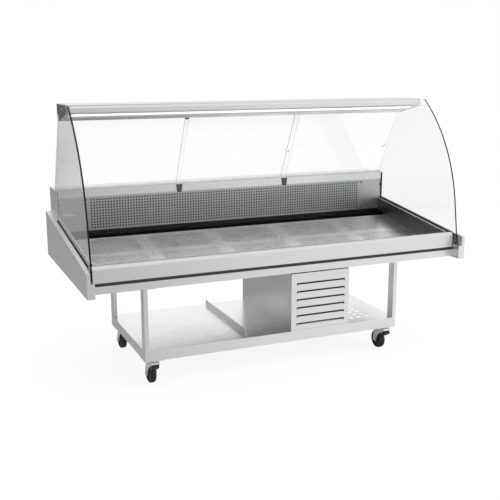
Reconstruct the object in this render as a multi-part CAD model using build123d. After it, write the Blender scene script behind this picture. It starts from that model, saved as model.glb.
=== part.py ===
from build123d import *
import math
import os

os.makedirs("parts", exist_ok=True)

# A chilled fish display case on a trolley. Millimetres, X along the counter, -Y towards the customer, Z up
# from the floor. Section profiles are lists of (y, z) points, extruded along X.

# Overall size
LENGTH = 2000
DEPTH = 960
HEIGHT = 1340
HALF = LENGTH / 2
FRONT = -DEPTH / 2
REAR = DEPTH / 2

# Sheet thicknesses and clearances
SHEET = 1.5
PIN_FIT = 0.05
SLIDE_FIT = 0.3
BOND_FIT = 0.15
PLATE_GAP = 1.2

# Castors
WHEEL_RADIUS = 50
WHEEL_WIDTH = 32
CASTOR_HEIGHT = 138
CASTOR_PLATE = 3.5
CASTOR_TRAIL = 38
CROWN_FRONT = -46
AXLE_RADIUS = 6
KING_PIN_RADIUS = 6
FORK_INNER = WHEEL_WIDTH / 2 + 2.5
FORK_OUTER = FORK_INNER + 2.5
PEDAL_PIN = (-22, 112)
PEDAL_PIN_RADIUS = 4
PEDAL_HALF = 20
PEDAL_TRAVEL = 16
SHOE_GAP = 1

# Trolley
TROLLEY_HALF = 700
TROLLEY_FRONT = FRONT + 170
TROLLEY_REAR = REAR - 140
TUBE_WIDTH = 20
TUBE_HEIGHT = 50
TUBE_WALL = 2
CASTOR_INSET = 50
RAIL_TOP = CASTOR_HEIGHT + TUBE_HEIGHT
SHELF_TOP = RAIL_TOP + SHEET
DIVIDER_X = -156
DIVIDER_HEIGHT = 27
VENT_RADIUS = 15
VENT_PITCH = 46
VENT_COLUMNS = 3
VENT_ROWS = 5

# Condensing unit
UNIT_LEFT = 76
UNIT_RIGHT = 410
UNIT_TOP = 490
UNIT_FRONT = TROLLEY_FRONT + 8
UNIT_REAR = TROLLEY_REAR - 4
UNIT_X = (UNIT_LEFT + UNIT_RIGHT) / 2
LOUVRES = 6
LOUVRE_PITCH = 42.5
CONDENSER_PLATE_Y = UNIT_FRONT + 72
CONDENSER_FAN_Z = 335
CONDENSER_FAN_RADIUS = 110
COMPRESSOR_RADIUS = 75
COMPRESSOR_FOOT = 12
COMPRESSOR_Y = UNIT_REAR - 150
PIPE_SPREAD = 30
FAN_HUB_RADIUS = 22
FAN_SHAFT_RADIUS = 4
FAN_OFFSET = 20
MOTOR_OFFSET = 40
MOTOR_LENGTH = 45

# Tank
CHEEK_WIDTH = 37
CHEEK_INNER = HALF - CHEEK_WIDTH
CHEEK_BOTTOM = 526
CHEEK_TOP_FRONT = 643
CHEEK_SLOPE = 122 / DEPTH
NOTCH_FLOOR = 595
NOTCH_WIDTH = 19
NOTCH_DEPTH = 80
TANK_BOTTOM = 500
TANK_TOP = 640
SHELL_FRONT = FRONT + 76
SHELL_REAR = REAR - 2 * SHEET
FASCIA_FRONT = FRONT + 54
FASCIA_TOP = 657
FASCIA_BOTTOM = 581
FASCIA_SHEET = 2
RAIL_FACE_TOP = 566
RAIL_FACE_BOTTOM = 531
WELL_HALF = CHEEK_INNER - 18
WELL_FRONT = SHELL_FRONT + 16
WELL_REAR = SHELL_REAR - 15
DRAIN_Y = UNIT_FRONT + 40
DRAIN_FLOOR = 540.5
DRAIN_RADIUS = 20
DRAIN_BORE = 17
FOAM = 28
FOAM_FRONT = 12

# Deck
DECK_PLATES = 5
DECK_SLOPE = 0.16
DECK_REAR = REAR - 258
DECK_REAR_Z = 649

# Tower
TOWER_DEPTH = 190
TOWER_FRONT = REAR - TOWER_DEPTH
TOWER_HALF = CHEEK_INNER + 9
WORKTOP_TOP = 895
WORKTOP_LIP = 40
LEDGE_FRONT = TOWER_FRONT + 40
LEDGE_STEP = 2
TOWER_TOP = WORKTOP_TOP - LEDGE_STEP - SHEET
GRILLE_BOTTOM = 677
GRILLE_TOP = WORKTOP_TOP - WORKTOP_LIP + 3
GRILLE_END_WIDTH = 108
GRILLE_HALF = WELL_HALF - 1 - GRILLE_END_WIDTH - PLATE_GAP
GRILLE_COLUMNS = 18
GRILLE_ROWS = 4
GRILLE_HOLE = 11
FAN_X = 400
EVAPORATOR_FAN_Z = 766
EVAPORATOR_FAN_RADIUS = 76
FAN_PLATE_Y = TOWER_FRONT + 44
COIL_FRONT = FAN_PLATE_Y + SHEET + MOTOR_OFFSET + MOTOR_LENGTH + 3
COIL_DEPTH = 36
COIL_HALF = GRILLE_HALF - 40
COIL_TUBES = 2
PIPE_Y = FAN_PLATE_Y + 45
PIPE_PORT = 12
SWITCH_X = 700
SWITCH_Z = 830
SWITCH_WIDTH = 24
SWITCH_HEIGHT = 30
SWITCH_PIN_RADIUS = 2
SWITCH_PIN_DEPTH = 8
SWITCH_TILT = 8

# Canopy
CANOPY_REAR = TOWER_FRONT - 142
CANOPY_DEPTH = 203
CANOPY_FRONT = CANOPY_REAR - CANOPY_DEPTH
CANOPY_FRONT_HEIGHT = 40
CANOPY_REAR_HEIGHT = 88
LAMP_FRONT = CANOPY_FRONT + 10
LAMP_REAR = CANOPY_FRONT + 105
LAMP_LAP = 5
HINGE_RADIUS = 4
HINGE_SOCKET = 8
HINGE = (CANOPY_FRONT - 11, HEIGHT - 9)
GLASS_LIFT = 65

# Glass
SIDE_GLASS = 8
SIDE_GLASS_INNER = CHEEK_INNER + 3
GLASS_FOOT = (FRONT + 28, 610)
GLASS_BEND = (FRONT + 62, 820)
GLASS_HEAD = (CANOPY_FRONT - 50, HEIGHT - 2)
TAB_WIDTH = 42
GASKET_HEIGHT = 4
GASKET_BASE = 1
GASKET_INSIDE = 15
GASKET_OUTSIDE = 3
SEAL_WIDTH = 12
FRONT_GLASS = 6
FRONT_GLASS_INSET = 38
FRONT_GLASS_HALF = SIDE_GLASS_INNER - 6
CANOPY_HALF = SIDE_GLASS_INNER - 6

# Rear doors, on three parallel tracks in a plane that leans forward
DOOR_GLASS = 4
DOOR_WALL = 2.4
DOOR_OVERLAP = 22
DOOR_FOOT = (TOWER_FRONT + 15, WORKTOP_TOP)
DOOR_HEAD = (CANOPY_REAR - 30.8, HEIGHT - 58.5)
DOOR_HALF = SIDE_GLASS_INNER - 5
DOOR_WIDTH = (2 * DOOR_HALF + 2 * DOOR_OVERLAP) / 3
DOOR_PITCH = DOOR_GLASS + 2 * SLIDE_FIT + DOOR_WALL
FINGER_RADIUS = 13
FINGER_INSET = 26
FINGER_HEIGHT = 180
TRACKS = 3
TRACK_HALF = SIDE_GLASS_INNER - 2
TRACK_FRONT = -DOOR_WALL - SLIDE_FIT
TRACK_REAR = TRACKS * DOOR_PITCH - SLIDE_FIT
TRACK_FLOOR = 3
TRACK_DEPTH = 6
HEAD_TRACK = 18


def bar(x0, x1, y0, y1, z0, z1):
    """A box given by its limits."""
    return Pos((x0 + x1) / 2, (y0 + y1) / 2, (z0 + z1) / 2) * Box(x1 - x0, y1 - y0, z1 - z0)


def rod_x(radius, x0, x1, y, z):
    """A round bar along X."""
    return Pos((x0 + x1) / 2, y, z) * Rot(0, 90, 0) * Cylinder(radius, x1 - x0)


def rod_y(radius, y0, y1, x, z):
    """A round bar along Y."""
    return Pos(x, (y0 + y1) / 2, z) * Rot(90, 0, 0) * Cylinder(radius, y1 - y0)


def rod_z(radius, z0, z1, x, y):
    """A round bar along Z."""
    return Pos(x, y, (z0 + z1) / 2) * Cylinder(radius, z1 - z0)


def section(points, x0, x1):
    """A (y, z) outline extruded along X from x0 to x1."""
    outline = Plane.YZ.offset(x0) * make_face(Polyline(*points, close=True))
    return extrude(outline, amount=x1 - x0)


def plan(points, z0, z1):
    """An (x, y) outline extruded upwards from z0 to z1."""
    outline = Plane.XY.offset(z0) * make_face(Polyline(*points, close=True))
    return extrude(outline, amount=z1 - z0)


def both_ends(piece):
    """A piece and its mirror image at the other end of the case."""
    return [piece, mirror(piece, about=Plane.YZ)]


def save(name, *pieces):
    """Write one node: a single solid, or a group of like solids."""
    solids = [solid for piece in pieces for solid in piece.solids()]
    shape = solids[0] if len(solids) == 1 else Compound(solids)
    export_step(shape, f"parts/{name}.step")


def cheek_top(y):
    """Height of the sloping top of the end cheeks at depth y."""
    return CHEEK_TOP_FRONT + CHEEK_SLOPE * (y - FRONT)


def deck_top(y):
    """Height of the deck's upper face at depth y."""
    return DECK_REAR_Z + DECK_SLOPE * (y - DECK_REAR)


def liner_profile():
    """The basin floor from front to rear: a shallow front pan, a slope, and a flat under the tower."""
    rear_floor = deck_top(TOWER_FRONT) - 15
    return [
        (WELL_FRONT, DRAIN_FLOOR + 2),
        (DRAIN_Y, DRAIN_FLOOR),
        (TOWER_FRONT, rear_floor),
        (WELL_REAR, rear_floor),
    ]


def liner_floor(y):
    """Height of the basin floor at depth y."""
    profile = liner_profile()
    for (y0, z0), (y1, z1) in zip(profile, profile[1:]):
        if y <= y1:
            return z0 + (z1 - z0) * (y - y0) / (y1 - y0)
    return profile[-1][1]


def crossing(p, q, r, s):
    """The point where the line through p and q meets the line through r and s."""
    ax, ay = q[0] - p[0], q[1] - p[1]
    bx, by = s[0] - r[0], s[1] - r[1]
    t = ((r[0] - p[0]) * by - (r[1] - p[1]) * bx) / (ax * by - ay * bx)
    return (p[0] + t * ax, p[1] + t * ay)


# Trolley


def base_rails():
    """Four mitred tubes in a rectangle, with a gusset in each corner for the castor."""
    x, y0, y1 = TROLLEY_HALF, TROLLEY_FRONT, TROLLEY_REAR
    w, t = TUBE_WIDTH, TUBE_WALL
    ring = bar(-x, x, y0, y1, CASTOR_HEIGHT, RAIL_TOP)
    ring -= bar(-x + w, x - w, y0 + w, y1 - w, CASTOR_HEIGHT, RAIL_TOP)
    core = bar(-x + t, x - t, y0 + t, y1 - t, CASTOR_HEIGHT + t, RAIL_TOP - t)
    core -= bar(-x + w - t, x - w + t, y0 + w - t, y1 - w + t, CASTOR_HEIGHT + t, RAIL_TOP - t)
    tube = ring - core
    outer = [(-x, y0), (x, y0), (x, y1), (-x, y1)]
    inner = [(-x + w, y0 + w), (x - w, y0 + w), (x - w, y1 - w), (-x + w, y1 - w)]
    rails = []
    for i in range(4):
        j = (i + 1) % 4
        rails.append(tube & plan([outer[i], outer[j], inner[j], inner[i]], CASTOR_HEIGHT, RAIL_TOP))
    for y_in, y_out in ((y0 + w, y0 + w + 75), (y1 - w - 75, y1 - w)):
        rails += both_ends(bar(x - w - 80, x - w, y_in, y_out, CASTOR_HEIGHT, CASTOR_HEIGHT + 5))
    return rails


def leg(y0, y1):
    """One upright tube at the right end, with the plate that screws to the tank."""
    x0, x1 = TROLLEY_HALF - TUBE_WIDTH, TROLLEY_HALF
    t = TUBE_WALL
    tube = bar(x0, x1, y0, y1, RAIL_TOP, TANK_BOTTOM)
    tube -= bar(x0 + t, x1 - t, y0 + t, y1 - t, RAIL_TOP, TANK_BOTTOM - 4)
    return tube + bar(x0 - 40, x0, y0, y1, TANK_BOTTOM - 4, TANK_BOTTOM)


def legs():
    """The four uprights."""
    front = leg(TROLLEY_FRONT, TROLLEY_FRONT + TUBE_HEIGHT)
    rear = leg(TROLLEY_REAR - TUBE_HEIGHT, TROLLEY_REAR)
    return both_ends(front) + both_ends(rear)


def bottom_shelf():
    """The shelf sheet: notched for the legs, with vent holes on the right and a turned-up divider."""
    x, y0, y1 = TROLLEY_HALF, TROLLEY_FRONT, TROLLEY_REAR
    sheet = bar(-x, x, y0, y1, RAIL_TOP, SHELF_TOP)
    notch_x, notch_y = TUBE_WIDTH + 0.5, TUBE_HEIGHT + 0.5
    for y_in, y_out in ((y0, y0 + notch_y), (y1 - notch_y, y1)):
        for notch in both_ends(bar(x - notch_x, x, y_in, y_out, RAIL_TOP, SHELF_TOP)):
            sheet -= notch
    first_x, first_y = TROLLEY_HALF - 133, TROLLEY_FRONT + 87
    vents = [
        rod_z(VENT_RADIUS, RAIL_TOP, SHELF_TOP, first_x - i * VENT_PITCH, first_y + j * VENT_PITCH)
        for i in range(VENT_COLUMNS)
        for j in range(VENT_ROWS)
    ]
    divider = bar(DIVIDER_X, DIVIDER_X + SHEET, y0 + 65, y1 - 11, SHELF_TOP, SHELF_TOP + DIVIDER_HEIGHT)
    return sheet - vents + divider


def castor_places():
    """The four swivel axes, as (name, x, y, has a brake)."""
    x = TROLLEY_HALF - CASTOR_INSET
    front, rear = TROLLEY_FRONT + 48, TROLLEY_REAR - 52
    return [
        ("front_left", -x, front, True),
        ("front_right", x, front, True),
        ("rear_left", -x, rear, False),
        ("rear_right", x, rear, False),
    ]


def castor_plate():
    """The bolted top plate with its king pin and nut, about the swivel axis."""
    plate = bar(-50, 50, -42.5, 42.5, CASTOR_HEIGHT - CASTOR_PLATE, CASTOR_HEIGHT)
    pin = rod_z(KING_PIN_RADIUS, CASTOR_HEIGHT - 20, CASTOR_HEIGHT - CASTOR_PLATE, 0, 0)
    nut = extrude(Plane.XY.offset(CASTOR_HEIGHT - 21.5) * RegularPolygon(10, 6), amount=5)
    return plate + pin + nut


def castor_fork(has_brake):
    """The swivelling fork with its axle, and the brake's pin where there is one."""
    y, z = CASTOR_TRAIL, WHEEL_RADIUS
    crown, brow = CASTOR_HEIGHT - 9, CASTOR_HEIGHT - 16
    hood = [(-30, crown - 23), (CROWN_FRONT, crown - 11), (CROWN_FRONT, crown), (y + 6, crown)]
    toe = [(y + 18, z + 10), (y + 14, z - 8), (y, z - 14), (y - 12, z - 8), (y - 16, z + 6)]
    throat = [(y - 22, z + 24), (-4, crown - 35)]
    fork = section(hood + toe + throat, -FORK_OUTER, FORK_OUTER)
    fork -= bar(-FORK_INNER, FORK_INNER, CROWN_FRONT + 2.5, y + 40, 0, brow)
    fork += rod_z(30, crown, CASTOR_HEIGHT - CASTOR_PLATE - 0.5, 0, 0)
    fork -= rod_z(KING_PIN_RADIUS + PIN_FIT, 100, CASTOR_HEIGHT, 0, 0)
    fork += rod_x(AXLE_RADIUS, -FORK_OUTER - 3, FORK_OUTER + 3, y, z)
    if has_brake:
        fork += rod_x(PEDAL_PIN_RADIUS, -FORK_OUTER - 2, FORK_OUTER + 2, *PEDAL_PIN)
    return fork


def castor_wheel():
    """The wheel, turned about its axle: a hub, flat sides and a chamfered tread."""
    half = WHEEL_WIDTH / 2
    bore = AXLE_RADIUS + PIN_FIT
    right = [(half + 1.5, bore), (half, 14), (half, WHEEL_RADIUS - 5), (half - 5, WHEEL_RADIUS)]
    left = [(-x, r) for x, r in reversed(right)]
    turned = revolve(make_face(Polyline(*right, *left, close=True)), Axis.X)
    return Pos(0, CASTOR_TRAIL, WHEEL_RADIUS) * turned


def brake_pedal():
    """The foot pedal on the fork's pin: a pad, a lever, and an arm whose shoe swings to the wheel."""
    y, z = PEDAL_PIN
    half = FORK_INNER - 1
    lever = section([(9, -6), (9, 4), (-10, 4), (-16, -3), (-16, -14), (0, -8)], -half, half)
    pad = section([(-15, -2), (-27, -2), (-31, -5), (-28, -9), (-15, -13)], -PEDAL_HALF, PEDAL_HALF)
    arm = section([(-5, -4), (6, -4), (10, -28), (22, -34), (22, -46), (4, -46), (-2, -28)], -half, half)
    axle = (CASTOR_TRAIL - y, WHEEL_RADIUS - z)
    arm -= rod_x(WHEEL_RADIUS + SHOE_GAP, -2 * half, 2 * half, *axle)
    pedal = lever + pad + Rot(-PEDAL_TRAVEL, 0, 0) * arm
    pedal -= rod_x(PEDAL_PIN_RADIUS + PIN_FIT, -2 * PEDAL_HALF, 2 * PEDAL_HALF, 0, 0)
    return Pos(0, y, z) * pedal


# Condensing unit


def unit_cover():
    """The folded cover over the condensing unit, open at the rear, with a hole for the drain."""
    cover = bar(UNIT_LEFT, UNIT_RIGHT, UNIT_FRONT + SHEET, UNIT_REAR, SHELF_TOP, UNIT_TOP)
    cover -= bar(UNIT_LEFT + SHEET, UNIT_RIGHT - SHEET, UNIT_FRONT, UNIT_REAR, SHELF_TOP, UNIT_TOP - SHEET)
    return cover - rod_z(DRAIN_RADIUS + 4, UNIT_TOP - 10, UNIT_TOP + 10, UNIT_X, DRAIN_Y)


def louvre_panel():
    """The front panel of the unit, with hooded louvres."""
    panel = bar(UNIT_LEFT, UNIT_RIGHT, UNIT_FRONT, UNIT_FRONT + SHEET, SHELF_TOP, UNIT_TOP)
    first = UNIT_TOP - 56
    x0, x1 = UNIT_LEFT + 30, UNIT_RIGHT - 25
    y = UNIT_FRONT
    for i in range(LOUVRES):
        z = first - i * LOUVRE_PITCH
        panel -= bar(x0, x1, y - 1, y + SHEET + 1, z - 7, z + 7)
        blade = [(y, z + 7), (y + SHEET, z + 7), (y + 12, z - 6), (y + 10.5, z - 6)]
        panel += section(blade, x0, x1)
    return panel


def compressor():
    """The hermetic compressor on its foot plate."""
    r = COMPRESSOR_RADIUS
    seam = [(r, 80), (r + 5, 83), (r, 86)]
    dome = [(r, 135), (r - 17, 165), (0, 178)]
    outline = [(0, 0), (r, 0)] + seam + dome
    can = revolve(Plane.XZ * make_face(Polyline(*outline, close=True)), Axis.Z)
    foot = bar(-100, 100, -80, 80, -COMPRESSOR_FOOT, 0)
    box = bar(70, 98, -30, 30, 60, 115)
    return Pos(UNIT_X, COMPRESSOR_Y, SHELF_TOP + COMPRESSOR_FOOT) * (can + foot + box)


def finned_coil(x0, x1, y0, y1, z0, z1, foot, fins, tubes):
    """A finned coil between two end plates that stand at foot height; tubes are the tube heights."""
    coil = bar(x0, x0 + 2, y0, y1, foot, z1) + bar(x1 - 2, x1, y0, y1, foot, z1)
    pitch = (x1 - x0) / (fins + 1)
    for i in range(fins):
        x = x0 + (i + 1) * pitch
        coil += bar(x - 0.6, x + 0.6, y0 + 2, y1 - 2, z0, z1 - 2)
    for z in tubes:
        coil += bar(x0, x1, (y0 + y1) / 2 - 5, (y0 + y1) / 2 + 5, z - 5, z + 5)
    return coil


def condenser_coil():
    """The condenser behind the louvres."""
    y0 = UNIT_FRONT + 16
    tubes = [SHELF_TOP + 50 + 85 * i for i in range(3)]
    return finned_coil(
        UNIT_LEFT + 29, UNIT_RIGHT - 29, y0, y0 + 50, SHELF_TOP + 14, UNIT_TOP - 20, SHELF_TOP, 12, tubes
    )


def fan_mount(x, y, z, radius, depth):
    """What carries one fan behind a plate at depth y: a strap on two posts, the motor and its shaft."""
    reach = radius + 12
    strap = bar(x - 12, x + 12, y + depth, y + depth + 2, z - reach, z + reach)
    motor = rod_y(28, y + depth, y + depth + MOTOR_LENGTH, x, z)
    shaft = rod_y(FAN_SHAFT_RADIUS, y + 6, y + depth, x, z)
    mount = strap + motor + shaft
    for side in (-1, 1):
        mount += bar(x - 12, x + 12, y, y + depth, z + side * reach - 4, z + side * reach + 4)
    return mount


def fan(x, y, z, radius):
    """An axial fan of five pitched blades, about its shaft."""
    hub = rod_y(FAN_HUB_RADIUS, -11, 11, 0, 0)
    length = radius - FAN_HUB_RADIUS + 6
    blade = Pos(0, 0, FAN_HUB_RADIUS - 6 + length / 2) * Rot(0, 0, 35) * Box(0.42 * radius, 2, length)
    blade &= rod_y(radius, -30, 30, 0, 0)
    rotor = hub
    for i in range(5):
        rotor += Rot(0, 72 * i, 0) * blade
    rotor -= rod_y(FAN_SHAFT_RADIUS + PIN_FIT, -40, 40, 0, 0)
    return Pos(x, y, z) * rotor


def condenser_fan_shroud():
    """The plate that ducts air through the condenser, with the fan's motor."""
    y = CONDENSER_PLATE_Y
    plate = bar(UNIT_LEFT + 20, UNIT_RIGHT - 20, y, y + SHEET, SHELF_TOP, UNIT_TOP - 22)
    plate -= rod_y(CONDENSER_FAN_RADIUS + 6, y - 1, y + SHEET + 1, UNIT_X, CONDENSER_FAN_Z)
    return plate + fan_mount(UNIT_X, y + SHEET, CONDENSER_FAN_Z, CONDENSER_FAN_RADIUS, MOTOR_OFFSET)


def condenser_fan():
    """The fan that draws air through the condenser."""
    return fan(UNIT_X, CONDENSER_PLATE_Y + FAN_OFFSET, CONDENSER_FAN_Z, CONDENSER_FAN_RADIUS)


def refrigerant_pipes():
    """The suction and liquid lines, from the compressor up through the tank floor to the evaporator."""
    pipes = []
    bend = 14
    for radius, x, tube in ((6, UNIT_X - PIPE_SPREAD, 0), (4, UNIT_X + PIPE_SPREAD, -1)):
        off_axis = PIPE_SPREAD - radius
        start = COMPRESSOR_Y + math.sqrt(COMPRESSOR_RADIUS**2 - off_axis**2) + 0.3
        low, high = SHELF_TOP + COMPRESSOR_FOOT + 112, evaporator_tubes()[tube]
        rise = [(x, start, low), (x, PIPE_Y - bend, low), (x, PIPE_Y, low + bend)]
        run = [(x, PIPE_Y, high - bend), (x, PIPE_Y + bend, high), (x, COIL_FRONT - 0.5, high)]
        path = Polyline(*rise, *run)
        circle = Plane(path @ 0, z_dir=(0, 1, 0)) * Circle(radius)
        pipes.append(sweep(circle, path, transition=Transition.RIGHT))
    return pipes


# Tank


def pipe_ports():
    """The holes for the two refrigerant lines, through everything in the tank floor."""
    places = (UNIT_X - PIPE_SPREAD, UNIT_X + PIPE_SPREAD)
    return [rod_z(PIPE_PORT, TANK_BOTTOM - 10, TANK_TOP + 60, x, PIPE_Y) for x in places]


def drain_port():
    """The hole for the drain through the tank floor."""
    return rod_z(DRAIN_RADIUS + 0.5, TANK_BOTTOM - 10, DRAIN_FLOOR + 20, UNIT_X, DRAIN_Y)


def tank_shell():
    """The outer pan of the tank. Its floor slopes up at the front, out of sight behind the lower rail."""
    front = [(SHELL_FRONT, TANK_TOP), (SHELL_FRONT, RAIL_FACE_BOTTOM), (TROLLEY_FRONT, TANK_BOTTOM)]
    corners = front + [(SHELL_REAR, TANK_BOTTOM), (SHELL_REAR, TANK_TOP)]
    inside = CHEEK_INNER - SHEET
    hollow = offset(make_face(Polyline(*corners, close=True)), -SHEET)
    shell = section(corners, -CHEEK_INNER, CHEEK_INNER)
    shell -= extrude(Plane.YZ.offset(-inside) * hollow, amount=2 * inside)
    shell -= bar(-inside, inside, SHELL_FRONT + SHEET, SHELL_REAR - SHEET, TANK_TOP - 2 * SHEET, TANK_TOP)
    return shell - pipe_ports() - drain_port()


def basin_liner():
    """The inner basin with its sloping floor, and the flange that covers the edge of the tank."""
    floor = liner_profile()
    rim = [(WELL_REAR, cheek_top(WELL_REAR) + 5), (WELL_FRONT, cheek_top(WELL_FRONT) + 5)]
    well = section(floor + rim, -WELL_HALF, WELL_HALF)
    t = SHEET
    depths = [WELL_FRONT - t, floor[1][0], floor[2][0], WELL_REAR + t]
    under = [(y, liner_floor(y) - t) for y in depths]
    outer_rim = [(WELL_REAR + t, cheek_top(WELL_REAR)), (WELL_FRONT - t, cheek_top(WELL_FRONT))]
    tub = section(under + outer_rim, -WELL_HALF - t, WELL_HALF + t)
    edge = [(y, cheek_top(y)) for y in (SHELL_FRONT, SHELL_REAR)]
    edge_under = [(y, z - t) for y, z in reversed(edge)]
    flange = section(edge + edge_under, -CHEEK_INNER, CHEEK_INNER)
    return tub + flange - well - pipe_ports() - drain_port()


def tank_foam():
    """The insulating slab under the sloping floor, thinner where the tank is shallow at the front."""
    layers = ((WELL_FRONT + 2, FOAM_FRONT), (DRAIN_Y, FOAM), (TOWER_FRONT, FOAM))
    top = [(y, liner_floor(y) - SHEET) for y, _ in layers]
    bottom = [(y, liner_floor(y) - SHEET - thickness) for y, thickness in reversed(layers)]
    slab = section(top + bottom, -WELL_HALF + 5, WELL_HALF - 5)
    return slab - drain_port()


def drain_spigot():
    """The drain: a flange on the basin floor and a spigot that drops into the unit's box."""
    z = DRAIN_FLOOR
    spigot = rod_z(DRAIN_RADIUS, UNIT_TOP - 12, z + 1, UNIT_X, DRAIN_Y)
    collar = rod_z(DRAIN_RADIUS + 8, TANK_BOTTOM - 5, TANK_BOTTOM, UNIT_X, DRAIN_Y)
    return spigot + collar - rod_z(DRAIN_BORE, TANK_BOTTOM - 50, z + 20, UNIT_X, DRAIN_Y)


def right_cheek():
    """The right end cheek: a folded tray, open towards the tank, notched for the glass."""
    foot = [(FRONT, CHEEK_BOTTOM), (REAR, CHEEK_BOTTOM)]
    corners = foot + [(REAR, cheek_top(REAR)), (FRONT, cheek_top(FRONT))]
    t = SHEET
    skin = section(corners, CHEEK_INNER, HALF)
    outer_edges = skin.edges().filter_by(Axis.X, reverse=True).group_by(Axis.X)[-1]
    skin = fillet(outer_edges, 3)
    inset = [
        (FRONT + t, CHEEK_BOTTOM + t),
        (REAR - t, CHEEK_BOTTOM + t),
        (REAR - t, cheek_top(REAR) - 1.1 * t),
        (FRONT + t, cheek_top(FRONT) - t),
    ]
    core = section(inset, CHEEK_INNER - 1, HALF - 1.5 * t)
    y, z = FRONT + NOTCH_DEPTH, NOTCH_FLOOR
    core -= bar(CHEEK_INNER - 2, CHEEK_INNER + NOTCH_WIDTH + t, FRONT, y + t, z - t, HEIGHT)
    notch = bar(CHEEK_INNER - 2, CHEEK_INNER + NOTCH_WIDTH, FRONT - 1, y, z, HEIGHT)
    return skin - core - notch


def front_fascia():
    """The front panel with its rounded top, folded back to the tank at both edges."""
    y0, y1, t = FASCIA_FRONT, SHELL_FRONT, FASCIA_SHEET
    z0, z1 = FASCIA_BOTTOM, FASCIA_TOP
    r = y1 - t - y0
    bow = math.sqrt(0.5)
    inner_bow = (r - t) * bow
    face = make_face(
        [
            Line((y1, z0), (y0, z0)),
            Line((y0, z0), (y0, z1 - r)),
            ThreePointArc((y0, z1 - r), (y0 + r - r * bow, z1 - r + r * bow), (y0 + r, z1)),
            Line((y0 + r, z1), (y1, z1)),
            Line((y1, z1), (y1, TANK_TOP - 5)),
            Line((y1, TANK_TOP - 5), (y0 + r, TANK_TOP - 5)),
            Line((y0 + r, TANK_TOP - 5), (y0 + r, z1 - t)),
            ThreePointArc((y0 + r, z1 - t), (y0 + r - inner_bow, z1 - r + inner_bow), (y0 + t, z1 - r)),
            Line((y0 + t, z1 - r), (y0 + t, z0 + t)),
            Line((y0 + t, z0 + t), (y1, z0 + t)),
            Line((y1, z0 + t), (y1, z0)),
        ]
    )
    half = CHEEK_INNER - 3
    return extrude(Plane.YZ.offset(-half) * face, amount=2 * half)


def front_lower_rail():
    """The channel-shaped rail below the fascia, with a shadow gap between them."""
    y0, y1, t = FASCIA_FRONT, SHELL_FRONT, FASCIA_SHEET
    z0, z1 = RAIL_FACE_BOTTOM, RAIL_FACE_TOP
    outer = [(y1, z0), (y0, z0), (y0, z1), (y1, z1)]
    inner = [(y1, z1 - t), (y0 + t, z1 - t), (y0 + t, z0 + t), (y1, z0 + t)]
    return section(outer + inner, -CHEEK_INNER, CHEEK_INNER)


def deck_plate(index):
    """One lift-out perforated plate, carried on its turned-down front and rear edges."""
    pitch = 2 * WELL_HALF / DECK_PLATES
    x0 = -WELL_HALF + index * pitch + PLATE_GAP / 2
    x1 = x0 + pitch - PLATE_GAP
    y0, y1, t = WELL_FRONT + 5, DECK_REAR, SHEET
    clear = 0.2
    outline = [
        (y0, liner_floor(y0) + clear),
        (y0, deck_top(y0)),
        (y1, deck_top(y1)),
        (y1, liner_floor(y1) + clear),
        (y1 - t, liner_floor(y1) + clear),
        (y1 - t, deck_top(y1 - t) - t),
        (y0 + t, deck_top(y0 + t) - t),
        (y0 + t, liner_floor(y0) + clear),
    ]
    plate = section(outline, x0, x1)
    middle = (y0 + y1) / 2
    reach = 0.36 * (y1 - y0)
    holes = []
    for column in range(4):
        x = x0 + (x1 - x0) * (column + 1) / 5
        for row in range(6):
            y = middle + reach * (2 * row - 5) / 5
            holes.append(bar(x - 5, x + 5, y - 5, y + 5, deck_top(y) - 6, deck_top(y) + 6))
    return plate - holes


# Glass


def glass_curve():
    """Centre and radius of the bend in the glass, tangent to its straight foot and through its head."""
    dy, dz = GLASS_BEND[0] - GLASS_FOOT[0], GLASS_BEND[1] - GLASS_FOOT[1]
    run = math.hypot(dy, dz)
    inward = (dz / run, -dy / run)
    ey, ez = GLASS_HEAD[0] - GLASS_BEND[0], GLASS_HEAD[1] - GLASS_BEND[1]
    radius = (ey * ey + ez * ez) / (2 * (ey * inward[0] + ez * inward[1]))
    centre = (GLASS_BEND[0] + radius * inward[0], GLASS_BEND[1] + radius * inward[1])
    return centre, radius, inward


def curve_point(radius, angle):
    """A point at this angle on a circle about the centre of the bend."""
    (cy, cz), _, _ = glass_curve()
    return (cy + radius * math.cos(angle), cz + radius * math.sin(angle))


def curve_angle(y, radius):
    """The angle at which a circle about the centre of the bend passes depth y, above the centre."""
    (cy, _), _, _ = glass_curve()
    return math.acos((y - cy) / radius)


def bend_angle():
    """The angle at which the straight foot meets the bend."""
    _, _, inward = glass_curve()
    return math.atan2(-inward[1], -inward[0])


def right_side_glass():
    """The right end pane: a front edge that bends back to the canopy, and a tab that drops into the cheek."""
    _, radius, _ = glass_curve()
    middle = (bend_angle() + curve_angle(GLASS_HEAD[0], radius)) / 2
    sill = [(y, cheek_top(y) + GASKET_BASE) for y in (GLASS_FOOT[0] + TAB_WIDTH, TOWER_FRONT - 4)]
    step = WORKTOP_TOP + 3
    corners = [
        GLASS_FOOT,
        (GLASS_FOOT[0] + TAB_WIDTH, GLASS_FOOT[1]),
        sill[0],
        sill[1],
        (TOWER_FRONT - 4, step),
        (TOWER_FRONT + 34, step),
        (CANOPY_REAR, HEIGHT - CANOPY_REAR_HEIGHT),
        (CANOPY_REAR, HEIGHT),
        GLASS_HEAD,
    ]
    edges = [Line(p, q) for p, q in zip(corners, corners[1:])]
    edges.append(ThreePointArc(GLASS_HEAD, curve_point(radius, middle), GLASS_BEND))
    edges.append(Line(GLASS_BEND, GLASS_FOOT))
    return extrude(Plane.YZ.offset(SIDE_GLASS_INNER) * make_face(edges), amount=SIDE_GLASS)


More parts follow.
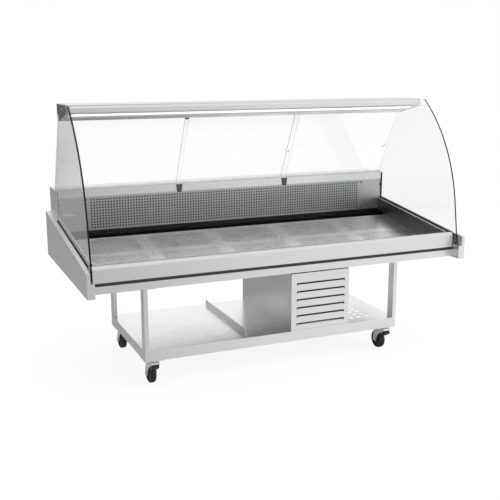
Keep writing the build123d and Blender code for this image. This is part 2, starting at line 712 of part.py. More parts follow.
def right_gaskets():
    """The black strip under the right pane and the black corner seal on the tower."""
    ends = (SHELL_FRONT + 1, TOWER_FRONT - 5)
    low = [(y, cheek_top(y)) for y in ends]
    high = [(y, z + GASKET_HEIGHT) for y, z in reversed(low)]
    outer = SIDE_GLASS_INNER + SIDE_GLASS
    strip = section(low + high, SIDE_GLASS_INNER - GASKET_INSIDE, outer + GASKET_OUTSIDE)
    floor = [(y, z + GASKET_BASE) for y, z in low]
    ceiling = [(y, z + GASKET_HEIGHT + 1) for y, z in reversed(low)]
    strip -= section(floor + ceiling, SIDE_GLASS_INNER - BOND_FIT, outer + BOND_FIT)
    foot, head = cheek_top(TOWER_FRONT), WORKTOP_TOP - 5
    seal = bar(TOWER_HALF - SEAL_WIDTH, TOWER_HALF, TOWER_FRONT - 3, TOWER_FRONT, foot, head)
    return [strip, seal]


def front_glass_strip(outer, inner, bottom_z, top_y):
    """The curved strip between two insets from the side panes' front edge."""
    _, radius, inward = glass_curve()
    ro, ri = radius - outer, radius - inner
    start = bend_angle()
    end = curve_angle(top_y, radius - (outer + inner) / 2)
    along = (-inward[1], inward[0])
    bend_out, bend_in = curve_point(ro, start), curve_point(ri, start)
    drop = (bend_out[1] - bottom_z) / along[1]
    foot_out = (bend_out[0] - drop * along[0], bend_out[1] - drop * along[1])
    foot_in = (bend_in[0] - drop * along[0], bend_in[1] - drop * along[1])
    middle = (start + end) / 2
    return make_face(
        [
            Line(foot_in, foot_out),
            Line(foot_out, bend_out),
            ThreePointArc(bend_out, curve_point(ro, middle), curve_point(ro, end)),
            Line(curve_point(ro, end), curve_point(ri, end)),
            ThreePointArc(curve_point(ri, end), curve_point(ri, middle), bend_in),
            Line(bend_in, foot_in),
        ]
    )


def front_glass():
    """The curved front pane, from the top of the fascia to its clamp under the canopy's front edge."""
    inset = FRONT_GLASS_INSET
    face = front_glass_strip(inset, inset + FRONT_GLASS, FASCIA_TOP + 4, HINGE[0] - 6)
    return extrude(Plane.YZ.offset(-FRONT_GLASS_HALF) * face, amount=2 * FRONT_GLASS_HALF)


def glass_clamp():
    """The profile that grips the top of the front glass and swings on the hinge bar's bead."""
    y, z = HINGE
    half = FRONT_GLASS_HALF
    outline = [
        (y - 14, z + HINGE_SOCKET),
        (y - 14, z - 33),
        (y - 9, z - 33),
        (y + 2, z - 23),
        (y + 2, z),
        (y, z + HINGE_SOCKET),
    ]
    clamp = section(outline, -half, half) + rod_x(HINGE_SOCKET, -half, half, y, z)
    clamp -= rod_x(HINGE_RADIUS + PIN_FIT, -half, half, y, z)
    opening = [(y, z)]
    for degrees in (-27, 33, GLASS_LIFT + 28):
        angle = math.radians(degrees)
        opening.append((y + 30 * math.cos(angle), z + 30 * math.sin(angle)))
    clamp -= section(opening, -half, half)
    inset = FRONT_GLASS_INSET
    slot = front_glass_strip(
        inset - BOND_FIT, inset + FRONT_GLASS + BOND_FIT, FASCIA_TOP, HINGE[0] - 6 + BOND_FIT
    )
    return clamp - extrude(Plane.YZ.offset(-half) * slot, amount=2 * half)


def glass_hinge_bar():
    """The bar on the canopy's front with the round bead that the clamp swings on."""
    y, z = HINGE
    half = FRONT_GLASS_HALF - 10
    plate = bar(-half, half, CANOPY_FRONT - 2, CANOPY_FRONT, HEIGHT - CANOPY_FRONT_HEIGHT + 3, HEIGHT - 2)
    web = bar(-half, half, y, CANOPY_FRONT - 2, z - 1.5, z + 1.5)
    return plate + web + rod_x(HINGE_RADIUS, -half, half, y, z)


# Rear doors


def door_point(across, up):
    """A (y, z) point in the doors' leaning frame: across is rearwards through the panes, up is along them."""
    dy, dz = DOOR_HEAD[0] - DOOR_FOOT[0], DOOR_HEAD[1] - DOOR_FOOT[1]
    run = math.hypot(dy, dz)
    uy, uz = dy / run, dz / run
    return (DOOR_FOOT[0] + across * uz + up * uy, DOOR_FOOT[1] - across * uy + up * uz)


def door_run():
    """Length of the doors' leaning plane, from the worktop to the top of the head track."""
    return math.hypot(DOOR_HEAD[0] - DOOR_FOOT[0], DOOR_HEAD[1] - DOOR_FOOT[1])


def up_at(across, z):
    """How far up the leaning frame the line at this distance across reaches height z."""
    low, high = door_point(across, 0)[1], door_point(across, 1)[1]
    return (z - low) / (high - low)


def leaning(across0, across1, up0, up1, x0, x1):
    """A box in the doors' leaning frame."""
    corners = [(across0, up0), (across1, up0), (across1, up1), (across0, up1)]
    return section([door_point(*corner) for corner in corners], x0, x1)


def levelled(across0, across1, z0, z1):
    """A bar as long as the tracks, between two leaning faces and two heights."""
    corners = [(across0, z0), (across1, z0), (across1, z1), (across0, z1)]
    return section([door_point(a, up_at(a, z)) for a, z in corners], -TRACK_HALF, TRACK_HALF)


def groove_sides():
    """The front and rear faces of the three slots of a track, as distances across."""
    return [(i * DOOR_PITCH - SLIDE_FIT, i * DOOR_PITCH + DOOR_GLASS + SLIDE_FIT) for i in range(TRACKS)]


def door_bottom_track():
    """The bottom track: a low bar on the worktop with three leaning grooves."""
    floor = WORKTOP_TOP + TRACK_FLOOR
    track = levelled(TRACK_FRONT, TRACK_REAR, WORKTOP_TOP, floor + TRACK_DEPTH)
    return track - [levelled(a, b, floor, floor + 2 * TRACK_DEPTH) for a, b in groove_sides()]


def door_top_track():
    """The head track: three leaning grooves, let into the rear of the canopy."""
    half, top = TRACK_HALF, door_run()
    block = leaning(TRACK_FRONT, TRACK_REAR, top - HEAD_TRACK, top, -half, half)
    return block - [leaning(a, b, top - 2 * HEAD_TRACK, top - 3, -half, half) for a, b in groove_sides()]


def door(x0, track, finger_x):
    """One sliding pane on its track, with a finger hole."""
    across = track * DOOR_PITCH
    low, high = up_at(across, WORKTOP_TOP + TRACK_FLOOR + SLIDE_FIT), door_run() - 7
    pane = leaning(across, across + DOOR_GLASS, low, high, x0, x0 + DOOR_WIDTH)
    y0, z0 = door_point(across - 5, FINGER_HEIGHT)
    y1, z1 = door_point(across + DOOR_GLASS + 5, FINGER_HEIGHT)
    axis = Plane((finger_x, y0, z0), z_dir=(0, y1 - y0, z1 - z0))
    return pane - extrude(axis * Circle(FINGER_RADIUS), amount=DOOR_GLASS + 10)


def doors():
    """The three doors by name: the middle one is in front, the right one furthest back."""
    return {
        "door_left": door(-DOOR_HALF, 1, -DOOR_HALF + FINGER_INSET),
        "door_middle": door(-DOOR_WIDTH / 2, 0, DOOR_WIDTH / 2 - FINGER_INSET),
        "door_right": door(DOOR_HALF - DOOR_WIDTH, 2, DOOR_HALF - FINGER_INSET),
    }


# Canopy


def canopy_outline():
    """The canopy's section: a deep rear, a sloping underside, and a notch that hides the head track."""
    front_low = (CANOPY_FRONT, HEIGHT - CANOPY_FRONT_HEIGHT)
    rear_low = (CANOPY_REAR, HEIGHT - CANOPY_REAR_HEIGHT)
    top = door_run()
    notch_top, seat_rear = door_point(TRACK_FRONT, top), door_point(TRACK_REAR, top)
    notch_low = crossing(front_low, rear_low, notch_top, door_point(TRACK_FRONT, 0))
    return [
        front_low,
        notch_low,
        notch_top,
        seat_rear,
        (CANOPY_REAR, seat_rear[1]),
        (CANOPY_REAR, HEIGHT),
        (CANOPY_FRONT, HEIGHT),
    ]


def underside(y):
    """Height of the canopy's sloping underside at depth y."""
    rise = CANOPY_REAR_HEIGHT - CANOPY_FRONT_HEIGHT
    return HEIGHT - CANOPY_FRONT_HEIGHT - rise * (y - CANOPY_FRONT) / (CANOPY_REAR - CANOPY_FRONT)


def canopy_shell():
    """The folded canopy, open at its ends and along the lamp."""
    face = make_face(Polyline(*canopy_outline(), close=True))
    ring = face - offset(face, -SHEET, kind=Kind.INTERSECTION)
    shell = extrude(Plane.YZ.offset(-CANOPY_HALF) * ring, amount=2 * CANOPY_HALF)
    return shell - bar(-CANOPY_HALF + 20, CANOPY_HALF - 20, LAMP_FRONT, LAMP_REAR, 0, HEIGHT - 10)


def canopy_cap():
    """The right end cap, between the canopy and the side pane."""
    return section(canopy_outline(), CANOPY_HALF, SIDE_GLASS_INNER)


def lamp_diffuser():
    """The opal cover, laid inside the canopy over the lamp opening."""
    ends = (LAMP_FRONT - LAMP_LAP, LAMP_REAR + LAMP_LAP)
    rise = SHEET * math.hypot(1, underside(0) - underside(1))
    low = [(y, underside(y) + rise) for y in ends]
    high = [(y, z + 3) for y, z in reversed(low)]
    return section(low + high, -CANOPY_HALF + 15, CANOPY_HALF - 15)


def led_strip():
    """The lamp: a carrier under the canopy's top with a row of emitters."""
    y = (LAMP_FRONT + LAMP_REAR) / 2
    top = HEIGHT - SHEET
    half = CANOPY_HALF - 60
    strip = bar(-half, half, y - 12, y + 12, top - 4, top)
    count = 18
    for i in range(count):
        x = half * (2 * i + 1 - count) / count
        strip += bar(x - 6, x + 6, y - 6, y + 6, top - 7, top - 4)
    return strip


# Tower


def worktop():
    """The folded worktop: deep front and rear lips, and a ledge one step below the door track's seat."""
    y0, y1, t = TOWER_FRONT, REAR, SHEET
    low, seat, ledge = WORKTOP_TOP - WORKTOP_LIP, WORKTOP_TOP, WORKTOP_TOP - LEDGE_STEP
    outer = [(y0, low), (y0, seat), (LEDGE_FRONT, seat), (LEDGE_FRONT, ledge), (y1, ledge), (y1, low)]
    rear_fold = [(y1 - t, low), (y1 - t, ledge - t), (LEDGE_FRONT - t, ledge - t)]
    front_fold = [(LEDGE_FRONT - t, seat - t), (y0 + t, seat - t), (y0 + t, low)]
    return section(outer + rear_fold + front_fold, -TOWER_HALF, TOWER_HALF)


def worktop_clip():
    """The right one of two dark tapered clips on the worktop's front lip."""
    x = DOOR_HALF / 3 - 6
    high, low = WORKTOP_TOP - 2, WORKTOP_TOP - 44
    outline = [(x - 18, high), (x + 18, high), (x + 12, low), (x - 12, low)]
    face = Plane.XZ.offset(-TOWER_FRONT) * make_face(Polyline(*outline, close=True))
    return extrude(face, amount=3)


def tower_end_panel():
    """The right end of the tower, standing on the cheek."""
    y0, y1 = TOWER_FRONT + SHEET, REAR - SHEET
    corners = [(y0, cheek_top(y0)), (y1, cheek_top(y1)), (y1, TOWER_TOP), (y0, TOWER_TOP)]
    return section(corners, TOWER_HALF - SHEET, TOWER_HALF)


def evaporator_grille():
    """The perforated front of the tower."""
    y0, y1 = TOWER_FRONT + SHEET, TOWER_FRONT + 2 * SHEET
    panel = bar(-GRILLE_HALF, GRILLE_HALF, y0, y1, GRILLE_BOTTOM, GRILLE_TOP)
    half, low, high = GRILLE_HALF - 22, GRILLE_BOTTOM + 16, GRILLE_TOP - 22
    pitch_x = 2 * half / (GRILLE_COLUMNS - 1)
    pitch_z = (high - low) / (GRILLE_ROWS - 1)
    r = GRILLE_HOLE / 2
    holes = []
    for i in range(GRILLE_COLUMNS):
        x = -half + i * pitch_x
        for j in range(GRILLE_ROWS):
            z = low + j * pitch_z
            holes.append(bar(x - r, x + r, y0 - 1, y1 + 1, z - r, z + r))
    return panel - holes


def grille_end_panel():
    """The plain panel at the right of the grille, wider above the basin, where it meets the corner seal."""
    x0, x1 = GRILLE_HALF + PLATE_GAP, WELL_HALF - 1
    y0, y1 = TOWER_FRONT + SHEET, TOWER_FRONT + 2 * SHEET
    upper = bar(x0, TOWER_HALF - SEAL_WIDTH, y0, y1, cheek_top(y1) + 4, GRILLE_TOP)
    return upper + bar(x0, x1, y0, y1, GRILLE_BOTTOM, GRILLE_TOP)


def tower_rear_panel():
    """The rear panel, from the tank's foot to the worktop, with lugs for the rocker switch."""
    y0, y1 = SHELL_REAR, SHELL_REAR + SHEET
    panel = bar(-CHEEK_INNER, CHEEK_INNER, y0, y1, TANK_BOTTOM + 5, TOWER_TOP)
    half_w, half_h = SWITCH_WIDTH / 2 + 0.5, SWITCH_HEIGHT / 2 + 0.5
    x, z = SWITCH_X, SWITCH_Z
    panel -= bar(x - half_w, x + half_w, y0 - 1, y1 + 1, z - half_h, z + half_h)
    for side in (-1, 1):
        inner, outer = x + side * half_w, x + side * (half_w + 4)
        panel += bar(min(inner, outer), max(inner, outer), y0 - 14, y0, z - 7, z + 7)
    return panel - rod_x(SWITCH_PIN_RADIUS + PIN_FIT, x - 30, x + 30, y0 - SWITCH_PIN_DEPTH, z)


def power_switch():
    """The rocker in the rear panel, tilted to off on trunnions in the panel's lugs."""
    half = SWITCH_WIDTH / 2
    outline = [(-4, -8), (-4, 8), (8, 14), (5.5, 0), (8, -14)]
    rocker = section(outline, -half, half) + rod_x(SWITCH_PIN_RADIUS, -half - 4, half + 4, 0, 0)
    return Pos(SWITCH_X, SHELL_REAR - SWITCH_PIN_DEPTH, SWITCH_Z) * Rot(-SWITCH_TILT, 0, 0) * rocker


def evaporator_tubes():
    """Heights of the evaporator's tubes."""
    return [liner_floor(WELL_REAR) + 40 + 70 * i for i in range(COIL_TUBES)]


def evaporator_coil():
    """The evaporator inside the tower, standing on the basin floor."""
    foot = liner_floor(WELL_REAR)
    rear = COIL_FRONT + COIL_DEPTH
    tubes = evaporator_tubes()
    return finned_coil(-COIL_HALF, COIL_HALF, COIL_FRONT, rear, foot + 15, foot + 150, foot, 16, tubes)


def evaporator_fan_plate():
    """The plate between the coil and the grille, with two fan motors."""
    y = FAN_PLATE_Y
    plate = bar(-WELL_HALF + 5, WELL_HALF - 5, y, y + SHEET, liner_floor(WELL_REAR), TOWER_TOP)
    for x in (-FAN_X, FAN_X):
        plate -= rod_y(EVAPORATOR_FAN_RADIUS + 6, y - 1, y + SHEET + 1, x, EVAPORATOR_FAN_Z)
    for x in (-FAN_X, FAN_X):
        plate += fan_mount(x, y + SHEET, EVAPORATOR_FAN_Z, EVAPORATOR_FAN_RADIUS, MOTOR_OFFSET)
    return plate


def evaporator_fan(x):
    """One fan that blows through the grille."""
    return fan(x, FAN_PLATE_Y + FAN_OFFSET, EVAPORATOR_FAN_Z, EVAPORATOR_FAN_RADIUS)


# The trolley's nodes
save("base_rails", *base_rails())
save("legs", *legs())
save("bottom_shelf", bottom_shelf())
save("castor_plates", *[Pos(x, y, 0) * castor_plate() for _, x, y, _ in castor_places()])
for name, x, y, has_brake in castor_places():
    save(f"castor_fork_{name}", Pos(x, y, 0) * castor_fork(has_brake))
    save(f"castor_wheel_{name}", Pos(x, y, 0) * castor_wheel())
    if has_brake:
        save(f"brake_pedal_{name}", Pos(x, y, 0) * brake_pedal())

# The condensing unit's nodes
save("unit_cover", unit_cover())
save("louvre_panel", louvre_panel())
save("compressor", compressor())
save("condenser_coil", condenser_coil())
save("condenser_fan_shroud", condenser_fan_shroud())
save("condenser_fan", condenser_fan())
save("refrigerant_pipes", *refrigerant_pipes())

# The tank's nodes
save("tank_shell", tank_shell())
save("tank_foam", tank_foam())
save("basin_liner", basin_liner())
save("drain_spigot", drain_spigot())
save("right_cheek", right_cheek())
save("left_cheek", mirror(right_cheek(), about=Plane.YZ))
save("front_fascia", front_fascia())
save("front_lower_rail", front_lower_rail())
for index in range(DECK_PLATES):
    save(f"deck_plate_{index + 1}", deck_plate(index))

# The glass and canopy nodes
save("right_side_glass", right_side_glass())
save("left_side_glass", mirror(right_side_glass(), about=Plane.YZ))
save("glass_gaskets", *[piece for right in right_gaskets() for piece in both_ends(right)])
save("front_glass", front_glass())
save("glass_clamp", glass_clamp())
save("glass_hinge_bar", glass_hinge_bar())
save("canopy_shell", canopy_shell())
save("canopy_end_caps", *both_ends(canopy_cap()))
save("lamp_diffuser", lamp_diffuser())
save("led_strip", led_strip())

# The tower's nodes
save("worktop", worktop())
save("worktop_clips", *both_ends(worktop_clip()))
save("tower_end_panels", *both_ends(tower_end_panel()))
save("evaporator_grille", evaporator_grille())
save("grille_end_panels", *both_ends(grille_end_panel()))
save("tower_rear_panel", tower_rear_panel())
save("power_switch", power_switch())
save("evaporator_coil", evaporator_coil())
save("evaporator_fan_plate", evaporator_fan_plate())
save("evaporator_fan_left", evaporator_fan(-FAN_X))
save("evaporator_fan_right", evaporator_fan(FAN_X))

# The rear doors' nodes
save("door_bottom_track", door_bottom_track())
save("door_top_track", door_top_track())
for name, pane in doors().items():
    save(name, pane)
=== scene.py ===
"""Finishes, perforated panels, small fittings and stage of a fish display case on a castor trolley."""
import math

import bpy
import numpy as np
from bpy.props import FloatProperty, FloatVectorProperty, IntProperty, PointerProperty
from bpy.types import NodeSocket, Operator, Panel, PropertyGroup
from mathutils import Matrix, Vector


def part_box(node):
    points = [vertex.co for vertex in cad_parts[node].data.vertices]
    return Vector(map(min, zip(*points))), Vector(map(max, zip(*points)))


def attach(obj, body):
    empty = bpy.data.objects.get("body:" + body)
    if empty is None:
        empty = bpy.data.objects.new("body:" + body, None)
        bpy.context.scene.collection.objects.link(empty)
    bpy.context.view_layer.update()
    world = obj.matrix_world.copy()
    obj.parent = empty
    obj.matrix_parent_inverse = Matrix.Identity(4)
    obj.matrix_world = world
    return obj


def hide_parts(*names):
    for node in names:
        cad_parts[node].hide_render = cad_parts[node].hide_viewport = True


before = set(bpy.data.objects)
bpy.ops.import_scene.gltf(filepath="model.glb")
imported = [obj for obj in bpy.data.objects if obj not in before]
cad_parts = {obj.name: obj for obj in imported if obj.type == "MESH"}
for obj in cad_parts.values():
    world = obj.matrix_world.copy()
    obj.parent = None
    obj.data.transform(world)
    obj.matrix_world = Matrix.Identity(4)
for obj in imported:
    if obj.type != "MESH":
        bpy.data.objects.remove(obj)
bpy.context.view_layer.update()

bl_info = {
    "name": "Fish display case looks",
    "version": (1, 0, 0),
    "blender": (4, 5, 0),
    "location": "View3D > Sidebar > Fish case",
    "description": "Finishes and fittings for a packed fish display case",
    "category": "Object",
}

CASTORS = ("front_left", "front_right", "rear_left", "rear_right")
BRAKED_CASTORS = CASTORS[:2]
DECK_PLATES = range(1, 6)
RIGHT = (1.0, 0.0, 0.0)
FRONT = (0.0, -1.0, 0.0)
UP = (0.0, 0.0, 1.0)
DOWN = (0.0, 0.0, -1.0)
# Points nearer than this, in metres, are in the same place
SAME_PLACE = 1e-4


# Settings that a user would change


def colour(name, description, default):
    """A colour property."""
    return FloatVectorProperty(
        name=name, description=description, subtype="COLOR", size=3, min=0, max=1, default=default
    )


def length(name, description, default):
    """A length property in metres."""
    return FloatProperty(name=name, description=description, unit="LENGTH", default=default, precision=4)


def angle(name, description, degrees):
    """An angle property, whose default is given in degrees."""
    return FloatProperty(name=name, description=description, subtype="ANGLE", default=math.radians(degrees))


def factor(name, description, default):
    """A property from 0 to 1."""
    return FloatProperty(name=name, description=description, subtype="FACTOR", min=0, max=1, default=default)


def power(name, description, default):
    """A lamp's power in watts."""
    return FloatProperty(name=name, description=description, unit="POWER", min=0, default=default)


class CaseFinishes(PropertyGroup):
    """Colours and finishes of the case."""

    steel: colour("Brushed steel", "Colour of the brushed sheet", (0.785, 0.8, 0.798))
    steel_roughness: factor("Brushed roughness", "Roughness of the brushed sheet", 0.36)
    deck: colour("Deck steel", "Colour of the perforated deck plates", (0.965, 0.98, 0.975))
    grille: colour("Grille steel", "Colour of the grille and its end panels", (0.53, 0.54, 0.535))
    # painted shade: the basin liner's colour is near black for the shade inside the basin
    basin: colour("Basin steel", "Colour of the dull liner under the deck", (0.16, 0.165, 0.165))
    polished: colour("Polished steel", "Colour of the polished worktop", (0.71, 0.725, 0.725))
    aluminium: colour("Aluminium", "Colour of the extruded tracks and clamps", (0.8, 0.81, 0.82))
    zinc: colour("Zinc", "Colour of the castor forks and plates", (0.8, 0.81, 0.82))
    glass: colour("Glass", "Tint of the panes", (0.993, 0.997, 0.996))
    glass_edge: colour("Glass edge", "Tint of the panes' cut edges", (0.03, 0.045, 0.045))
    rubber: colour("Rubber", "Colour of the seals and wheels", (0.012, 0.012, 0.013))
    plastic: colour("Plastic", "Colour of the pedals, fans and switch", (0.018, 0.018, 0.02))
    # painted shade: the tank shell is near black so that the gap under the fascia shows as dark shade
    shell: colour("Tank shell", "Colour of the dull shell round the insulation", (0.1, 0.102, 0.103))
    # painted shade: colour for the deep trough behind the deck, also used on the tower's inner rear faces
    trough_shade: colour("Trough", "Colour of the basin in its deep trough", (0.035, 0.036, 0.037))
    track: colour("Track", "Colour of the doors' white lower track", (0.97, 0.98, 0.97))
    clip: colour("Clip", "Colour of the worktop's clips", (0.07, 0.072, 0.075))
    cap: colour("End cap", "Colour of the canopy's end caps", (0.22, 0.225, 0.23))
    opal: colour("Opal", "Colour of the lamp cover", (0.9, 0.91, 0.9))
    board: colour("Lamp board", "Colour of the board behind the lamp cover", (0.8, 0.8, 0.78))
    copper: colour("Copper", "Colour of the refrigerant pipes", (0.72, 0.36, 0.2))
    foam: colour("Foam", "Colour of the insulation", (0.75, 0.62, 0.36))


class CasePatterns(PropertyGroup):
    """Sizes of the perforations and small fittings."""

    deck_sheet: length("Deck sheet", "Thickness of the deck's perforated sheet", 0.0008)
    grille_sheet: length("Grille sheet", "Thickness of the grille's perforated sheet", 0.0015)
    fold: length("Fold", "Radius of the deck plates' folds", 0.003)
    deck_pitch: length("Deck pitch", "Spacing of the deck's holes", 0.0125)
    deck_hole: length("Deck hole", "Width of one deck hole", 0.007)
    deck_margin: length("Deck margin", "Plain margin beside each plate's joint", 0.034)
    deck_strip: length("Deck strip", "Width of the plain strip between the two holed fields", 0.042)
    deck_strip_y: length("Strip depth", "Where that strip crosses the deck", -0.015)
    grille_pitch: length("Grille pitch", "Spacing of the grille's holes", 0.0152)
    grille_hole: length("Grille hole", "Width of one square grille hole", 0.0092)
    grille_side: length("Grille side margin", "Plain margin at the grille's two ends", 0.0315)
    grille_foot: length("Grille foot margin", "Plain margin under the grille's holes", 0.0075)
    grille_head: length("Grille head margin", "Plain margin over the grille's holes", 0.0125)
    screw: length("Screw head", "Diameter of a screw head", 0.0105)
    bolt: length("Bolt head", "Width of a castor bolt's head across its corners", 0.014)
    bead: length("Rim bead", "Diameter of the bead along the basin's side walls", 0.0056)
    flange: length("Rim flange", "Width of the flange outside that bead", 0.018)
    nut: length("Axle nut", "Width of an axle nut across its corners", 0.019)
    plate_width: length("Bare plate width", "Width of the bare plate on the grille's left end", 0.066)
    plate_height: length("Bare plate height", "Height of that plate", 0.028)
    tyre_sides: IntProperty(name="Tyre sides", description="Steps round a castor wheel", min=12, default=64)


class CaseStage(PropertyGroup):
    """Camera and light."""

    camera: FloatVectorProperty(
        name="Camera", description="Place of the camera", subtype="TRANSLATION", size=3,
        default=(-1.7053, -3.8872, 1.5248),
    )
    yaw: angle("Yaw", "Turn of the view to the right of +Y", 23.4)
    pitch: angle("Pitch", "Tilt of the view below the horizon", 12.8)
    lens: FloatProperty(
        name="Lens", description="Focal length on a 36 mm sensor", subtype="DISTANCE_CAMERA", default=58.88
    )
    key: power("Key light", "Power of the light at the front right", 75.0)
    top: power("Top light", "Power of the overhead light", 36.0)
    ambient: factor("Ambient", "Level of the light from all round", 0.8)


# Node helpers


def fill(tree, made, *ordered, **named):
    """Fill a node's inputs, in order or by name: a socket is linked, anything else is set as a constant."""
    pairs = list(zip(made.inputs, ordered))
    pairs += [(made.inputs[name.replace("_", " ")], value) for name, value in named.items()]
    for socket, value in pairs:
        if isinstance(value, NodeSocket):
            tree.links.new(value, socket)
        else:
            socket.default_value = value
    return made


def node(tree, kind, *ordered, choices=(), **named):
    """A new shader node, with its choices made, such as its operation, and its inputs filled."""
    made = tree.nodes.new("ShaderNode" + kind)
    for name, value in dict(choices).items():
        setattr(made, name, value)
    return fill(tree, made, *ordered, **named)


def rgba(values):
    """A colour with full alpha."""
    return (*values, 1.0)


def grey(level):
    """A grey of this level with full alpha."""
    return (level, level, level, 1.0)


def shade(values, amount):
    """A colour made lighter or darker."""
    return tuple(min(1.0, value * amount) for value in values)


def calculated(tree, operation, *values):
    """The result of one Math node."""
    return node(tree, "Math", *values, choices={"operation": operation}).outputs["Value"]


def vectors(tree, operation, first, second):
    """The outputs of one Vector Math node."""
    return node(tree, "VectorMath", first, second, choices={"operation": operation}).outputs


def coordinates(tree, kind):
    """A surface's own coordinates of one kind, such as Object or Normal."""
    return node(tree, "TexCoord").outputs[kind]


def part_of(tree, vector, axis):
    """One part of a vector: X, Y or Z."""
    return node(tree, "SeparateXYZ", vector).outputs[axis]


def facing(tree, direction):
    """How far a surface's own normal points in a direction: their dot product."""
    return vectors(tree, "DOT_PRODUCT", coordinates(tree, "Normal"), direction)["Value"]


def between(tree, value, low, high, soft=False):
    """0 at low and 1 at high, held at both ends, even or soft in between."""
    choices = {"interpolation_type": "SMOOTHSTEP"} if soft else {}
    made = node(tree, "MapRange", Value=value, From_Min=low, From_Max=high, choices=choices)
    return made.outputs["Result"]


def ranged(tree, mask, low, high):
    """A value that goes from low to high with a mask."""
    return node(tree, "MapRange", Value=mask, To_Min=low, To_Max=high).outputs["Result"]


def mixed(tree, kind, mask, first, second):
    """A colour or vector that goes from the first to the second with a mask."""
    made = node(tree, "Mix", Factor=mask, A=first, B=second, choices={"data_type": kind})
    return made.outputs["Result"]


def mixed_colour(tree, mask, low, high):
    """A colour that goes from low to high with a mask."""
    return mixed(tree, "RGBA", mask, rgba(low), rgba(high))


def mixed_shaders(tree, mask, first, second):
    """A shader that goes from the first to the second with a mask."""
    return node(tree, "MixShader", mask, first, second).outputs["Shader"]


# Shared effects


# Scales of the brushed grain for lines along each axis
STRETCH = {"x": (4.0, 700.0, 700.0), "y": (700.0, 4.0, 700.0), "z": (700.0, 700.0, 4.0)}


def new_group(name, inputs, outputs):
    """An empty shader node group with these sockets, and the nodes by which one enters and leaves it."""
    tree = bpy.data.node_groups.new(name, "ShaderNodeTree")
    for socket, kind, default in inputs:
        made = tree.interface.new_socket(socket, in_out="INPUT", socket_type=kind)
        made.default_value = default
    for socket, kind in outputs:
        tree.interface.new_socket(socket, in_out="OUTPUT", socket_type=kind)
    return tree, tree.nodes.new("NodeGroupInput").outputs, tree.nodes.new("NodeGroupOutput")


def brushed_grain_group():
    """Fine lines along one axis: noise on Object coordinates that are stretched by a vector."""
    inputs = [("Stretch", "NodeSocketVector", STRETCH["x"])]
    tree, entry, leave = new_group("brushed_grain", inputs, [("Grain", "NodeSocketFloat")])
    place = vectors(tree, "MULTIPLY", coordinates(tree, "Object"), entry["Stretch"])["Vector"]
    lines = node(tree, "TexNoise", Vector=place, Scale=1.0, Detail=4.0, Roughness=0.65)
    fill(tree, leave, Grain=between(tree, lines.outputs["Fac"], 0.3, 0.7))
    return tree


def handling_marks_group():
    """Soft cloudy patches, as wiping leaves on sheet and glass: three octaves of wide noise."""
    inputs = [("Scale", "NodeSocketFloat", 5.0)]
    tree, entry, leave = new_group("handling_marks", inputs, [("Mask", "NodeSocketFloat")])
    place = coordinates(tree, "Object")
    clouds = node(tree, "TexNoise", Vector=place, Scale=entry["Scale"], Detail=3.0, Roughness=0.55)
    fill(tree, leave, Mask=between(tree, clouds.outputs["Fac"], 0.35, 0.68))
    return tree


def moulded_texture_group():
    """The fine pebbled skin of moulded plastic and rubber: small noise for bump and a wide one for fading."""
    inputs = [("Pebble", "NodeSocketFloat", 900.0)]
    outputs = [("Height", "NodeSocketFloat"), ("Fading", "NodeSocketFloat")]
    tree, entry, leave = new_group("moulded_texture", inputs, outputs)
    place = coordinates(tree, "Object")
    pebble = node(tree, "TexNoise", Vector=place, Scale=entry["Pebble"], Detail=2.0)
    fading = node(tree, "TexNoise", Vector=place, Scale=18.0, Detail=3.0)
    fill(tree, leave, Height=pebble.outputs["Fac"], Fading=fading.outputs["Fac"])
    return tree


# Levels of the studio round the case, as (turn, level): turn 0 is -X, 0.25 is -Y, 0.5 is +X and 0.75 is +Y
LOW_STUDIO = (
    (0.0, 0.5), (0.167, 0.52), (0.264, 0.52), (0.286, 0.62), (0.3056, 0.79), (0.3208, 0.9), (0.344, 0.97),
    (0.4, 1.0), (0.745, 1.0), (0.77, 0.4), (0.785, 0.2), (0.803, 0.22), (0.815, 0.33), (0.84, 0.38),
    (0.9, 0.44), (1.0, 0.5),
)
HIGH_STUDIO = (
    (0.0, 0.5), (0.25, 0.7), (0.3, 0.9), (0.36, 1.0), (0.638, 1.0), (0.652, 0.92), (0.73, 0.92), (1.0, 0.5),
)
# The upward part of a direction, between which the low levels give way to the high ones
STUDIO_RISE = (0.325, 0.355)


def level_ramp(tree, turn, levels):
    """A grey that changes with the turn, from its stops."""
    ramp = node(tree, "ValToRGB", turn)
    stops = ramp.color_ramp.elements
    stops[0].color = grey(levels[0][1])
    stops[1].color = grey(levels[-1][1])
    for place, level in levels[1:-1]:
        stops.new(place).color = grey(level)
    return ramp.outputs["Color"]


def studio_surround_group():
    """The studio as bare metal reflects it: walls whose level changes with a direction's turn and rise."""
    inputs = [("Direction", "NodeSocketVector", (0.0, 1.0, 0.0))]
    tree, entry, leave = new_group("studio_surround", inputs, [("Level", "NodeSocketColor")])
    direction = entry["Direction"]
    turn = node(tree, "TexGradient", direction, choices={"gradient_type": "RADIAL"}).outputs["Fac"]
    rise = between(tree, part_of(tree, direction, "Z"), *STUDIO_RISE, soft=True)
    low, high = level_ramp(tree, turn, LOW_STUDIO), level_ramp(tree, turn, HIGH_STUDIO)
    fill(tree, leave, Level=mixed(tree, "RGBA", rise, low, high))
    return tree


GROUP_MAKERS = {
    "brushed_grain": brushed_grain_group,
    "handling_marks": handling_marks_group,
    "moulded_texture": moulded_texture_group,
    "studio_surround": studio_surround_group,
}


def shared(tree, name, **sockets):
    """The outputs of a shared group placed in a material. The group is built the first time it is needed."""
    group = bpy.data.node_groups.get(name) or GROUP_MAKERS[name]()
    return node(tree, "Group", choices={"node_tree": group}, **sockets).outputs


# Materials


def new_material(name, **sockets):
    """A material with one Principled shader on its output."""
    material = bpy.data.materials.new(name)
    material.use_nodes = True
    tree = material.node_tree
    tree.nodes.clear()
    shader = node(tree, "BsdfPrincipled", **sockets)
    node(tree, "OutputMaterial", shader.outputs["BSDF"])
    return material, tree, shader


def show(tree, shader):
    """Put another shader on a material's output."""
    fill(tree, tree.nodes["Material Output"], shader)


